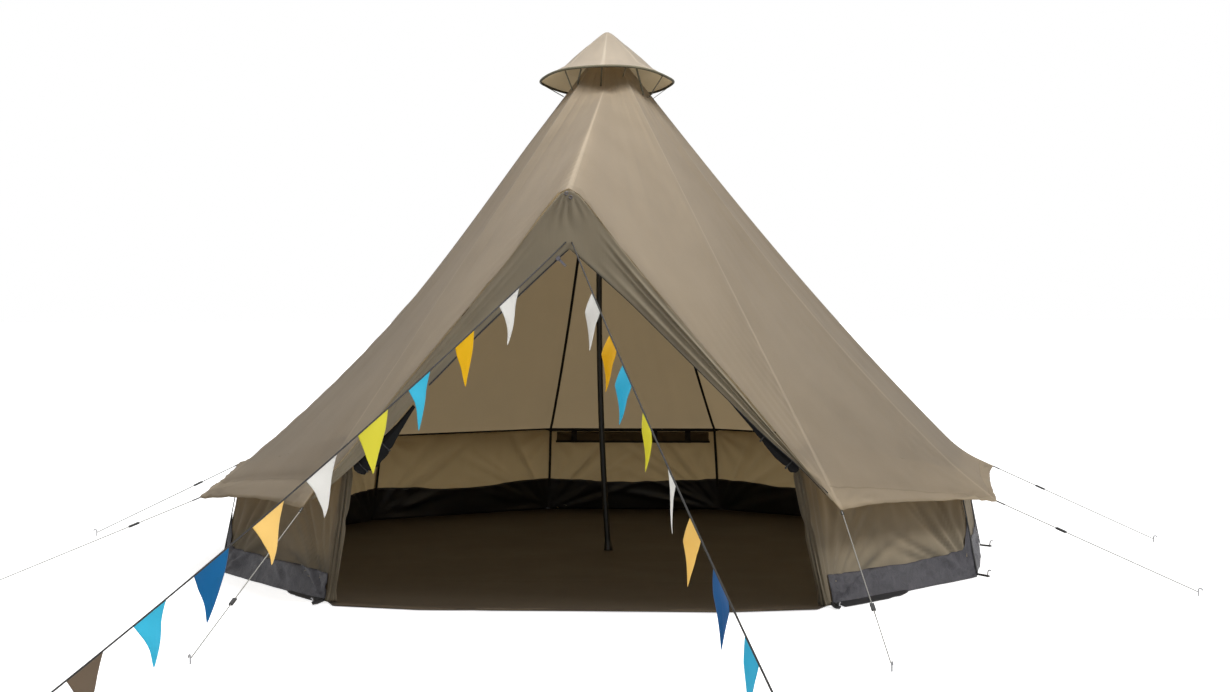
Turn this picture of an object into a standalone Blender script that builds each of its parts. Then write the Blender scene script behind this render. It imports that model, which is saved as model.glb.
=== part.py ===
# Pyramid tent with ten corners, one centre pole and a hooded front door.
# Metres, +Z up, the door faces -Y. The origin is on the ground at the foot of the centre pole.
import math

import bmesh
import bpy
from mathutils import Matrix, Vector

# Plan and heights of the tent
FLOOR_HALF_WIDTH = 1.83
FLOOR_HALF_LENGTH = 2.06
PEAK_HEIGHT = 2.49
CROWN_DROP = 0.08
CAP_RISE = 0.045
CROWN_HEIGHT = PEAK_HEIGHT - CROWN_DROP
CAP_TOP_HEIGHT = PEAK_HEIGHT + CAP_RISE
SEAM_HEIGHT = 0.48
EAVE_DROP = 0.075
EAVE_OVERHANG = 0.072
SIDE_GUY_PULL = 0.03
SIDE_GUY_DROP = 0.063
SEAM_REACH_SHARE = 0.951
RIDGE_SAG = 0.058
RIDGE_SAG_SKEW = 1.25

# Corners of the floor on the right, front to back, as shares of the half width and half length
CORNER_SHARES = {
    "front": (0.568, -0.850),
    "side_front": (0.929, -0.413),
    "side_middle": (0.995, 0.120),
    "side_rear": (0.775, 0.630),
    "rear": (0.273, 0.961),
}
CORNER_ORDER = tuple(CORNER_SHARES)
RIDGE_SAG_SHARES = {"front": 0.0, "side_front": 1.64, "side_middle": 1.0, "side_rear": 1.0, "rear": 0.86}
PANEL_NAMES = ("front", "middle", "aft", "back")

# Cloth
CLOTH_DROP = 0.005
WALL_THICKNESS = 0.004
PANEL_SAG = 0.022
HEM_SCALLOP = 0.03
DOOR_POST_HEIGHT = 0.687
GAP = 0.0003

# Hood and door
HOOD_REACH = 2.05
HOOD_HALF_WIDTH = 1.065
HOOD_CORNER_HEIGHT = 0.415
HOOD_APEX_HEIGHT = 1.684
HOOD_RIDGE_TOP_DROP = 0.255
HOOD_RIDGE_TOP_REACH = 0.215
DOOR_APEX_DROP = 0.241
DOOR_APEX_HEIGHT = HOOD_APEX_HEIGHT - DOOR_APEX_DROP
HOOD_FACE_END_SHARE = 0.965
DOOR_ROLL_RADIUS = 0.036
DOOR_ROLL_TOP_HEIGHT = 0.55
DOOR_ROLL_TOP_SHARE = 0.826
DOOR_ROLL_FOOT_SHARES = (0.952, 1.028)
DOOR_ROLL_FOLDS = 3
DOOR_ROLL_FOLD_DEPTH_SHARE = 0.22
DOOR_ROLL_TAPER_SHARE = 0.7
MESH_ROLL_RADIUS = 0.024
MESH_ROLL_START_SHARE = 0.563
MESH_ROLL_END_SHARE = 0.751
MESH_ROLL_TAPER_SHARE = 0.45

# Groundsheet
SHEET_THICKNESS = 0.004
RIM_HEIGHT = 0.165
RIM_THICKNESS = 0.003
LIP_SETBACK = 0.05
LIP_SIDE_SETBACK = 0.145
LIP_INSET = 0.064
LIP_SHOULDER_SHARE = 0.62

# Centre pole
POLE_RADIUS = 0.014
POLE_WALL = 0.0015
POLE_BOW = 0.043
POLE_JOINT_LENGTH = 0.07
POLE_FIT = 0.0003
POLE_RINGS = 6
POLE_STEPS = 16
POLE_SECTIONS = ("lower", "middle", "upper")
FOOT_RADIUS = 0.021
FOOT_HEIGHT = 0.045
FOOT_BASE_HEIGHT = 0.012
PLUG_LENGTH = 0.03
SPIKE_RADIUS = 0.005
SPIKE_SHOULDER_HEIGHT = 0.012
CROWN_THICKNESS = 0.004
CROWN_HOLE_CLEARANCE = 0.0014

# Vent cap
CAP_RADIUS = 0.322
CAP_DROP = 0.249
CAP_WALL = 0.003
CAP_TILT_DEG = 6.0
CAP_TIP_RADIUS = 0.012
CAP_STEPS = 40
CAP_PROFILE_SHARES = ((0.0, 0.0), (0.30, 0.30), (0.50, 0.53), (0.68, 0.76), (0.85, 0.89), (1.0, 1.0))
BINDING_RADIUS = 0.007
STRAP_RADIUS = 0.0035
STRAP_AZIMUTHS_DEG = (-140.0, -65.0, 0.0, 65.0, 140.0)
STRAP_SPREAD_DEG = 13.0
STRAP_FOOT_REACH = 0.235

# Guy lines, runners and pegs
GUY_RADIUS = 0.002
GUY_PEG_SHARES = {
    "front": (0.650, -1.578),
    "side_front": (1.399, -0.684),
    "side_middle": (1.486, 0.248),
}
GUY_TIE_HEIGHT = 0.02
GUY_POINTS = 8
RUNNER_LENGTH = 0.05
RUNNER_WIDTH = 0.016
RUNNER_THICKNESS = 0.009
RUNNER_BEVEL = 0.002
RUNNER_CLEARANCE = 0.0004
RUNNER_SHARES = {"front": 0.657, "side_front": 0.329, "side_middle": 0.287}
PEG_RADIUS = 0.003
PEG_HEIGHT = 0.034
PEG_HOOK_RADIUS = 0.009
PEG_ARC_POINTS = 7

# Front guy lines with pennants
FESTOON_RADIUS = 0.003
FESTOON_PEG_SHARES = {"left": (-0.750, -2.309), "right": (0.537, -2.870)}
FESTOON_TIE_WIDTH = 0.012
FESTOON_TIE_RISE = 0.02
FESTOON_SAG = 0.024
FESTOON_POINTS = 30
FLAG_COUNT = 9
FLAG_FIRST_SHARES = {"left": 0.117, "right": 0.128}
FLAG_PITCH_SHARES = {"left": 0.0900, "right": 0.0862}
FLAG_WIDTH = 0.16
FLAG_LENGTH = 0.20
FLAG_THICKNESS = 0.002
FLAG_TIP_SHARE = 0.16
FLAG_SINK_SHARE = 0.4

# Zip slider and its pull
SLIDER_LENGTH = 0.018
SLIDER_HEIGHT = 0.014
SLIDER_DEPTH = 0.012
SLIDER_BEVEL = 0.0015
SLIDER_GRIP = 0.006
SLIDER_CLEARANCE = 0.0004
SLIDER_START = 0.06
PULL_LENGTH = 0.034
PULL_WIDTH = 0.009
PULL_THICKNESS = 0.002
PULL_HOLE_RADIUS = 0.0022
PULL_BARREL_RADIUS = 0.002

CUT_OVERRUN = 0.01
CLOTH_COLUMNS = 6
CLOTH_ROWS = 4
WALL_UPPER_ROWS = 3
SMOOTH_ANGLE_DEG = 40.0

UP = Vector((0.0, 0.0, 1.0))
SIDES = {"left": -1.0, "right": 1.0}
COLOURS = {
    "roof_cloth": (0.262, 0.224, 0.166),
    "wall_cloth": (0.166, 0.138, 0.094),
    "sheet_cloth": (0.030, 0.022, 0.015),
    "rim_cloth": (0.006, 0.006, 0.007),
    "mesh_cloth": (0.005, 0.005, 0.005),
    "binding_tape": (0.072, 0.068, 0.044),
    "black_steel": (0.008, 0.008, 0.009),
    "black_plastic": (0.012, 0.012, 0.012),
    "peg_steel": (0.05, 0.05, 0.052),
    "guy_cord": (0.42, 0.41, 0.38),
    "dark_cord": (0.022, 0.020, 0.018),
    "zip_metal": (0.20, 0.20, 0.20),
}
METALLIC = {"black_steel": 0.6, "peg_steel": 0.9, "zip_metal": 1.0}
ROUGHNESS = {"black_steel": 0.4, "black_plastic": 0.45, "peg_steel": 0.4, "zip_metal": 0.35}
CLOTH_ROUGHNESS = 0.85


def start_scene():
    """Empty the scene and make the two collections."""
    for old in list(bpy.data.objects):
        bpy.data.objects.remove(old, do_unlink=True)
    groups = []
    for title in ("pyramid_tent", "cutters"):
        group = bpy.data.collections.new(title)
        bpy.context.scene.collection.children.link(group)
        groups.append(group)
    return groups


PARTS, CUTTERS = start_scene()


def material(title):
    """The material of that name, made the first time it is asked for."""
    found = bpy.data.materials.get(title)
    if found:
        return found
    made = bpy.data.materials.new(title)
    made.use_nodes = True
    shader = made.node_tree.nodes["Principled BSDF"]
    shader.inputs["Base Color"].default_value = (*COLOURS[title], 1.0)
    shader.inputs["Metallic"].default_value = METALLIC.get(title, 0.0)
    shader.inputs["Roughness"].default_value = ROUGHNESS.get(title, CLOTH_ROUGHNESS)
    return made


def add_object(name, data, finish, group=None):
    """Link new data as an object, with its material."""
    made = bpy.data.objects.new(name, data)
    (group or PARTS).objects.link(made)
    if finish:
        data.materials.append(material(finish))
    return made


def mesh_from(name, bm):
    """Close a bmesh into a mesh with its faces pointing out."""
    bmesh.ops.recalc_face_normals(bm, faces=bm.faces)
    if bm.calc_volume(signed=True) < 0.0:
        bmesh.ops.reverse_faces(bm, faces=bm.faces)
    mesh = bpy.data.meshes.new(name)
    bm.to_mesh(mesh)
    bm.free()
    return mesh


def smooth(mesh):
    """Shade the round faces smooth and keep the sharp edges."""
    mesh.shade_smooth()
    mesh.set_sharp_from_angle(angle=math.radians(SMOOTH_ANGLE_DEG))


def applied(obj):
    """Replace an object's data by its evaluated mesh."""
    bpy.context.view_layer.update()
    graph = bpy.context.evaluated_depsgraph_get()
    mesh = bpy.data.meshes.new_from_object(obj.evaluated_get(graph))
    if obj.type == "MESH":
        obj.modifiers.clear()
        obj.data = mesh
        return obj
    bm = bmesh.new()
    bm.from_mesh(mesh)
    bmesh.ops.remove_doubles(bm, verts=bm.verts, dist=GAP / 10.0)
    bm.to_mesh(mesh)
    bm.free()
    made = bpy.data.objects.new(obj.name + "_mesh", mesh)
    obj.users_collection[0].objects.link(made)
    made.matrix_world = obj.matrix_world
    bpy.data.objects.remove(obj, do_unlink=True)
    return made


def as_cutter(obj):
    """Hide a helper object that cuts or joins another."""
    for group in obj.users_collection:
        group.objects.unlink(obj)
    CUTTERS.objects.link(obj)
    obj.hide_render = True
    obj.display_type = "WIRE"
    return obj


def boolean(obj, other, operation):
    """Cut or join an object with another, which then counts as a cutter."""
    step = obj.modifiers.new(operation.title(), "BOOLEAN")
    step.operation = operation
    step.solver = "EXACT"
    step.object = as_cutter(other)
    return applied(obj)


def slab(name, columns, rows, place, finish):
    """A closed sheet whose point at u across, v down and w through is place(u, v, w)."""
    bm = bmesh.new()
    bmesh.ops.create_grid(bm, x_segments=columns, y_segments=rows, size=1.0)
    for vert in bm.verts:
        vert.co = Vector((0.5 + vert.co.x / 2.0, 0.5 + vert.co.y / 2.0, 0.0))
    raised = bmesh.ops.extrude_face_region(bm, geom=bm.faces[:], use_keep_orig=True)
    for item in raised["geom"]:
        if isinstance(item, bmesh.types.BMVert):
            item.co.z = 1.0
    for vert in bm.verts:
        vert.co = place(vert.co.x, vert.co.y, vert.co.z)
    return add_object(name, mesh_from(name, bm), finish)


def swept(name, sides, rings, place, finish):
    """A closed round solid whose point at angle a and height share t is place(a, t)."""
    bm = bmesh.new()
    bmesh.ops.create_cone(bm, cap_ends=True, segments=sides, radius1=1.0, radius2=1.0, depth=1.0)
    for ring in range(1, rings):
        level = Vector((0.0, 0.0, ring / rings - 0.5))
        whole = bm.verts[:] + bm.edges[:] + bm.faces[:]
        bmesh.ops.bisect_plane(bm, geom=whole, plane_co=level, plane_no=UP)
    for vert in bm.verts:
        vert.co = place(math.atan2(vert.co.y, vert.co.x), vert.co.z + 0.5)
    made = add_object(name, mesh_from(name, bm), finish)
    smooth(made.data)
    return made


def turned(name, profile, steps, finish, closed=False):
    """Turn a profile of radius and height pairs about Z. Outer sides run from top to bottom."""
    mesh = bpy.data.meshes.new(name)
    edges = [(i, i + 1) for i in range(len(profile) - 1)]
    if closed:
        edges.append((len(profile) - 1, 0))
    mesh.from_pydata([(radius, 0.0, height) for radius, height in profile], edges, [])
    made = add_object(name, mesh, finish)
    screw = made.modifiers.new("Screw", "SCREW")
    screw.steps = steps
    screw.render_steps = steps
    screw.use_merge_vertices = True
    screw.merge_threshold = 0.00001
    applied(made)
    smooth(made.data)
    return made


def rod(name, points, radius, finish, group=None):
    """A round bar or cord along a row of points."""
    curve = bpy.data.curves.new(name, "CURVE")
    curve.dimensions = "3D"
    curve.bevel_depth = radius
    curve.bevel_resolution = 2
    curve.use_fill_caps = True
    spline = curve.splines.new("POLY")
    spline.points.add(len(points) - 1)
    for target, point in zip(spline.points, points):
        target.co = (*point, 1.0)
    return add_object(name, curve, finish, group)


def block(name, size, bevel, finish, group=None):
    """A box with rounded edges, centred on its origin."""
    bm = bmesh.new()
    bmesh.ops.create_cube(bm, size=1.0)
    bmesh.ops.scale(bm, vec=size, verts=bm.verts)
    if bevel:
        bmesh.ops.bevel(bm, geom=bm.edges[:], offset=bevel, segments=2, affect="EDGES", profile=0.5)
    return add_object(name, mesh_from(name, bm), finish, group)


def plate(name, outline, bottom, thickness, finish):
    """A flat plate with that outline."""
    bm = bmesh.new()
    face = bm.faces.new([bm.verts.new((x, y, bottom)) for x, y in outline])
    raised = bmesh.ops.extrude_face_region(bm, geom=[face], use_keep_orig=True)
    for item in raised["geom"]:
        if isinstance(item, bmesh.types.BMVert):
            item.co.z += thickness
    return add_object(name, mesh_from(name, bm), finish)


def along(rail, share):
    """The point at a share of a rail, whose points are evenly numbered."""
    position = min(max(share, 0.0), 1.0) * (len(rail) - 1)
    first = min(int(position), len(rail) - 2)
    return rail[first].lerp(rail[first + 1], position - first)


def level_steps(low, high, count):
    """Evenly spaced heights from low to high."""
    return [low + (high - low) * i / count for i in range(count + 1)]


def inset(share, length):
    """A share across a panel, with half a seam left open at either side."""
    return (GAP + share * (length - 2.0 * GAP)) / length


# Corner points

def foot(corner, side):
    """The ground point of a corner."""
    x_share, y_share = CORNER_SHARES[corner]
    return Vector((side * x_share * FLOOR_HALF_WIDTH, y_share * FLOOR_HALF_LENGTH, 0.0))


def tip(corner, side):
    """The point of the eave that the guy line pulls at."""
    if corner == "front":
        return Vector((side * HOOD_HALF_WIDTH, -HOOD_REACH, HOOD_CORNER_HEIGHT))
    ground = foot(corner, side)
    pull = SIDE_GUY_PULL if corner == "side_front" else 0.0
    drop = SIDE_GUY_DROP if corner == "side_front" else 0.0
    reach = ground.length + EAVE_OVERHANG + pull
    return ground.normalized() * reach + UP * (SEAM_HEIGHT - EAVE_DROP - drop)


def knuckle(corner, side):
    """The point of a ridge that the top of the wall meets. At the door it stands higher."""
    if corner == "front":
        return ridge_point(corner, side, DOOR_POST_HEIGHT)
    return foot(corner, side) * SEAM_REACH_SHARE + UP * SEAM_HEIGHT


def ridge_point(corner, side, height):
    """The point of a ridge at that height. A ridge hangs a little between its ends."""
    low = tip(corner, side) if corner == "front" else knuckle(corner, side)
    share = (PEAK_HEIGHT - height) / (PEAK_HEIGHT - low.z)
    skewed = share ** RIDGE_SAG_SKEW
    hollow = RIDGE_SAG * RIDGE_SAG_SHARES[corner] * 4.0 * skewed * (1.0 - skewed)
    inward = -Vector((low.x, low.y, 0.0)).normalized()
    return (UP * PEAK_HEIGHT).lerp(low, share) + inward * hollow


def ridge_rail(corner, side):
    """Evenly numbered points of a ridge, from the crown to the wall's top and on to the eave."""
    low = knuckle(corner, side)
    heights = level_steps(CROWN_HEIGHT, low.z, CLOTH_ROWS)
    upper = [ridge_point(corner, side, height) for height in heights[:-1]]
    skirt = [low.lerp(tip(corner, side), i / CLOTH_ROWS) for i in range(CLOTH_ROWS + 1)]
    return upper + skirt


def wall_point(corner, side, height, depth):
    """A point of a wall corner, that far inside the wall's outer face."""
    top = knuckle(corner, side) - UP * (CLOTH_DROP + GAP)
    point = foot(corner, side).lerp(top, height / top.z)
    return point - level_direction(point) * depth


def level_direction(point):
    """The level direction from the tent's middle to a point."""
    return Vector((point.x, point.y, 0.0)).normalized()


def panel_sag(across, main):
    """How far a roof panel hangs below its ridges at those shares across and down."""
    return PANEL_SAG * 4.0 * across * (1.0 - across) * math.sin(math.pi * main)


def panel_corners():
    """Every side panel as its name and its two corners, each with its side."""
    rows = []
    for side_name, side in SIDES.items():
        for panel, first, second in zip(PANEL_NAMES, CORNER_ORDER, CORNER_ORDER[1:]):
            rows.append((f"{panel}_{side_name}", (first, side), (second, side)))
    rows.append(("rear", ("rear", SIDES["right"]), ("rear", SIDES["left"])))
    return rows


# Roof and walls

def roof_point(first, second, u, v):
    """A point of the roof's outer face between two corners. The wall's top is half way down."""
    rail_a = ridge_rail(*first)
    rail_b = ridge_rail(*second)
    start = along(rail_a, v)
    end = along(rail_b, v)
    point = start.lerp(end, inset(u, (end - start).length))
    point.z -= panel_sag(u, min(v * 2.0, 1.0))
    skirt = (end + start - rail_a[CLOTH_ROWS] - rail_b[CLOTH_ROWS]).normalized()
    return point - skirt * HEM_SCALLOP * 4.0 * u * (1.0 - u) * max(v * 2.0 - 1.0, 0.0)


def roof_panel(name, first, second):
    """One side panel of the roof with its skirt below the seam."""
    def place(u, v, w):
        return roof_point(first, second, u, v) - UP * CLOTH_DROP * w

    return slab("roof_panel_" + name, CLOTH_COLUMNS, CLOTH_ROWS * 2, place, "roof_cloth")


def wall_panel(name, first, second):
    """One wall panel from the ground to the underside of the roof."""
    rows = WALL_UPPER_ROWS + 1

    def place(u, v, w):
        row = round((1.0 - v) * rows)
        level = RIM_HEIGHT if row else 0.0
        start = wall_point(*first, level, WALL_THICKNESS * w)
        end = wall_point(*second, level, WALL_THICKNESS * w)
        point = start.lerp(end, inset(u, (end - start).length))
        top = roof_point(first, second, u, 0.5) - UP * (CLOTH_DROP + GAP)
        top -= level_direction(top) * WALL_THICKNESS * w
        return point.lerp(top, max(row - 1, 0) / WALL_UPPER_ROWS)

    return slab("wall_panel_" + name, CLOTH_COLUMNS, rows, place, "wall_cloth")


def hood_rails(side):
    """The hood's middle ridge and the seam that joins it to the side panel."""
    middle = [
        Vector((0.0, ridge_point("front", side, CROWN_HEIGHT).y, CROWN_HEIGHT)),
        Vector((0.0, -HOOD_RIDGE_TOP_REACH, PEAK_HEIGHT - HOOD_RIDGE_TOP_DROP)),
        Vector((0.0, -HOOD_REACH, HOOD_APEX_HEIGHT)),
    ]
    seam = [
        ridge_point("front", side, CROWN_HEIGHT),
        ridge_point("front", side, PEAK_HEIGHT - HOOD_RIDGE_TOP_DROP),
        tip("front", side),
    ]
    return middle, seam


def hood_panel(side_name, side):
    """The roof triangle between the hood's ridge and the front corner."""
    middle, seam = hood_rails(side)

    def place(u, v, w):
        start = along(middle, v)
        end = along(seam, v)
        return start.lerp(end, inset(u, (end - start).length)) - UP * CLOTH_DROP * w

    return slab("hood_panel_" + side_name, CLOTH_COLUMNS, CLOTH_ROWS * 2, place, "roof_cloth")


def door_edge(side, share):
    """A point of the door opening's slanting edge, from its apex to the hood's corner."""
    apex = Vector((0.0, -HOOD_REACH, DOOR_APEX_HEIGHT))
    return apex.lerp(tip("front", side), share)


def hood_face(side_name, side):
    """The upright cloth between the hood's edge and the door opening."""
    apex = Vector((0.0, -HOOD_REACH, HOOD_APEX_HEIGHT))
    start = Vector((side * GAP, 0.0, 0.0))

    def place(u, v, w):
        share = u * HOOD_FACE_END_SHARE
        upper = apex.lerp(tip("front", side), share) - UP * (CLOTH_DROP + GAP * 2.5)
        point = upper.lerp(door_edge(side, share), v)
        return point + start * (1.0 - u) + Vector((0.0, WALL_THICKNESS * w, 0.0))

    return slab("hood_face_" + side_name, CLOTH_COLUMNS * 2, CLOTH_ROWS // 2, place, "roof_cloth")


# Rolled doors

def door_roll(side_name, side):
    """The cloth door rolled back and hanging in folds from the hood to the groundsheet."""
    behind = WALL_THICKNESS + GAP + DOOR_ROLL_RADIUS * (1.0 + DOOR_ROLL_FOLD_DEPTH_SHARE)
    top = Vector((side * DOOR_ROLL_TOP_SHARE * HOOD_HALF_WIDTH, behind - HOOD_REACH, DOOR_ROLL_TOP_HEIGHT))
    corner = foot("front", side)
    across, ahead = DOOR_ROLL_FOOT_SHARES
    low = Vector((corner.x * across, corner.y * ahead, SHEET_THICKNESS + GAP))

    def place(angle, share):
        centre = low.lerp(top, share)
        folds = 1.0 + DOOR_ROLL_FOLD_DEPTH_SHARE * math.cos(DOOR_ROLL_FOLDS * angle)
        width = DOOR_ROLL_RADIUS * folds * (DOOR_ROLL_TAPER_SHARE + (1.0 - DOOR_ROLL_TAPER_SHARE) * share)
        return centre + Vector((math.cos(angle), math.sin(angle), 0.0)) * width

    return swept("door_roll_" + side_name, 24, 8, place, "wall_cloth")


def mesh_roll(side_name, side):
    """The rolled insect mesh behind the hood's edge, thicker towards its lower tie."""
    depth = WALL_THICKNESS + GAP + MESH_ROLL_RADIUS
    slope = door_edge(side, 1.0) - door_edge(side, 0.0)
    start = door_edge(side, MESH_ROLL_START_SHARE)
    end = door_edge(side, MESH_ROLL_END_SHARE)
    across = Vector((slope.z, 0.0, -slope.x)).normalized()

    def place(angle, share):
        width = MESH_ROLL_RADIUS * (1.0 - (1.0 - MESH_ROLL_TAPER_SHARE) * share)
        centre = end.lerp(start, share) + Vector((0.0, depth, 0.0))
        return centre + across * math.cos(angle) * width + Vector((0.0, math.sin(angle) * width, 0.0))

    return swept("mesh_roll_" + side_name, 16, 6, place, "mesh_cloth")


# Groundsheet

def groundsheet_floor():
    """The flat groundsheet inside the walls, with its lip before the door."""
    inside = WALL_THICKNESS + GAP * 2.0
    level = SHEET_THICKNESS
    right = [wall_point(corner, SIDES["right"], level, inside) for corner in CORNER_ORDER]
    left = [wall_point(corner, SIDES["left"], level, inside) for corner in reversed(CORNER_ORDER)]
    half = foot("front", SIDES["right"]).x - LIP_INSET
    shoulder = half * LIP_SHOULDER_SHARE
    reach = HOOD_REACH - LIP_SETBACK
    side_reach = HOOD_REACH - LIP_SIDE_SETBACK
    lip = [(-half, -side_reach), (-shoulder, -reach), (shoulder, -reach), (half, -side_reach)]
    outline = [(point.x, point.y) for point in right + left] + lip
    return plate("groundsheet_floor", outline, 0.0, SHEET_THICKNESS, "sheet_cloth")


def groundsheet_rim():
    """The raised rim that runs round inside the walls from one door post to the other."""
    right = [(corner, SIDES["right"]) for corner in CORNER_ORDER]
    left = [(corner, SIDES["left"]) for corner in reversed(CORNER_ORDER)]
    corners = right + left
    columns = (len(corners) - 1) * CLOTH_COLUMNS
    low = SHEET_THICKNESS + GAP

    def place(u, v, w):
        height = low + (RIM_HEIGHT - low) * (1.0 - v)
        depth = WALL_THICKNESS + GAP * 2.0 + RIM_THICKNESS * w
        rail = [wall_point(*corner, height, depth) for corner in corners]
        return along(rail, u)

    return slab("groundsheet_rim", columns, 1, place, "rim_cloth")


# Centre pole

def bowed(obj):
    """Bend a piece of the pole sideways along the pole's own slight bow."""
    for vert in obj.data.vertices:
        share = min(max((vert.co.z - SHEET_THICKNESS) / (CROWN_HEIGHT - SHEET_THICKNESS), 0.0), 1.0)
        vert.co.x -= POLE_BOW * 4.0 * share * (1.0 - share)
    return obj


def pole_foot():
    """The plastic foot that the pole stands in."""
    base = SHEET_THICKNESS + GAP
    socket = POLE_RADIUS + POLE_FIT
    floor = base + FOOT_BASE_HEIGHT
    top = base + FOOT_HEIGHT
    inner = [(0.0, floor), (socket, floor), (socket, top)]
    outer = [(socket + POLE_WALL, top), (FOOT_RADIUS, floor), (FOOT_RADIUS, base), (0.0, base)]
    return bowed(turned("pole_foot", inner + outer, POLE_STEPS * 2, "black_plastic"))


def pole_sections():
    """Three steel tubes, each but the top one with a slim end that plugs into the next."""
    low = SHEET_THICKNESS + GAP + FOOT_BASE_HEIGHT + GAP
    high = CROWN_HEIGHT - CROWN_THICKNESS - GAP - SPIKE_SHOULDER_HEIGHT
    span = (high - low) / len(POLE_SECTIONS)
    bore = POLE_RADIUS - POLE_WALL
    slim = bore - POLE_FIT
    narrow = slim - POLE_WALL
    last = len(POLE_SECTIONS) - 1
    for index, section in enumerate(POLE_SECTIONS):
        bottom = low + span * index + (GAP if index else 0.0)
        top = low + span * (index + 1)
        outer = [(POLE_RADIUS, height) for height in reversed(level_steps(bottom, top, POLE_RINGS))]
        wide_top = bottom + POLE_JOINT_LENGTH + GAP * 3.0
        if index < last:
            inner_top = top + POLE_JOINT_LENGTH
            outer = [(slim, inner_top), (slim, top)] + outer
            end = []
        else:
            inner_top = top - PLUG_LENGTH - POLE_WALL - GAP * 3.0
            end = [(bore, inner_top + POLE_WALL), (bore, top)]
        heights = level_steps(wide_top + POLE_WALL, inner_top, POLE_RINGS)
        inner = [(bore, bottom), (bore, wide_top)] + [(narrow, height) for height in heights] + end
        bowed(turned("pole_section_" + section, outer + inner, POLE_STEPS, "black_steel", closed=True))


def pole_spike():
    """The plastic plug on the pole's top, with the spike that goes through the crown."""
    shoulder_top = CROWN_HEIGHT - CROWN_THICKNESS - GAP
    shoulder_low = shoulder_top - SPIKE_SHOULDER_HEIGHT + GAP
    tip_height = CAP_TOP_HEIGHT - CAP_WALL * 2.0 - GAP
    slim = POLE_RADIUS - POLE_WALL - POLE_FIT
    profile = [
        (0.0, tip_height),
        (SPIKE_RADIUS / 2.0, tip_height - SPIKE_RADIUS / 4.0),
        (SPIKE_RADIUS, tip_height - SPIKE_RADIUS),
        (SPIKE_RADIUS, shoulder_top),
        (POLE_RADIUS, shoulder_top),
        (POLE_RADIUS, shoulder_low),
        (slim, shoulder_low),
        (slim, shoulder_low - PLUG_LENGTH),
        (0.0, shoulder_low - PLUG_LENGTH),
    ]
    return bowed(turned("pole_top_spike", profile, POLE_STEPS, "black_plastic"))


def crown_patch():
    """The stiff patch in the roof's top, which rests on the pole's shoulder."""
    outline = []
    for side in (SIDES["right"], SIDES["left"]):
        order = CORNER_ORDER if side > 0 else tuple(reversed(CORNER_ORDER))
        for corner in order:
            point = ridge_point(corner, side, CROWN_HEIGHT)
            flat = Vector((point.x, point.y, 0.0))
            flat -= flat.normalized() * GAP * 2.0
            outline.append((flat.x, flat.y))
    made = plate("crown_patch", outline, CROWN_HEIGHT - CROWN_THICKNESS, CROWN_THICKNESS, "binding_tape")
    hole = rod(
        "crown_hole",
        [UP * (CROWN_HEIGHT - CUT_OVERRUN), UP * (CROWN_HEIGHT + CUT_OVERRUN)],
        SPIKE_RADIUS + CROWN_HOLE_CLEARANCE,
        None,
        CUTTERS,
    )
    return boolean(made, applied(hole), "DIFFERENCE")


# Vent cap

def cap_profile():
    """Outer and inner outline of the cap below its top, as radius and height."""
    outer = [(0.0, 0.0)]
    inner = [(0.0, -CAP_WALL * 2.0)]
    for across, down in CAP_PROFILE_SHARES:
        radius = CAP_TIP_RADIUS + (CAP_RADIUS - CAP_TIP_RADIUS) * across
        height = -CAP_WALL - (CAP_DROP - CAP_WALL) * down
        outer.append((radius, height))
        inner.append((radius - CAP_WALL / 2.0, height - CAP_WALL))
    return outer + inner[::-1]


def cap_point(azimuth_deg, radius, below):
    """A point of the tilted cap in the tent's frame. Azimuth 0 is the front."""
    angle = math.radians(azimuth_deg)
    local = Vector((math.sin(angle) * radius, -math.cos(angle) * radius, -below))
    return Matrix.Rotation(-math.radians(CAP_TILT_DEG), 3, "X") @ local + UP * CAP_TOP_HEIGHT


def vent_cap():
    """The round cap over the roof's top, tilted so that its front stands higher."""
    made = turned("vent_cap", cap_profile(), CAP_STEPS, "roof_cloth")
    made.location = (0.0, 0.0, CAP_TOP_HEIGHT)
    made.rotation_euler = (-math.radians(CAP_TILT_DEG), 0.0, 0.0)
    return made


def roof_seat(x, y, above):
    """The point that far off the roof's outer face, over a place near its top."""
    bpy.context.view_layer.update()
    hits = []
    for panel in PARTS.objects:
        if panel.name.startswith(("roof_panel", "hood_panel")):
            for shift in (-GAP * 2.0, GAP * 2.0):
                found, spot, normal, _ = panel.ray_cast(Vector((x + shift, y, CAP_TOP_HEIGHT)), -UP)
                if found:
                    hits.append((spot.z, spot + normal * above))
    return max(hits, key=lambda hit: hit[0])[1]


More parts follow.
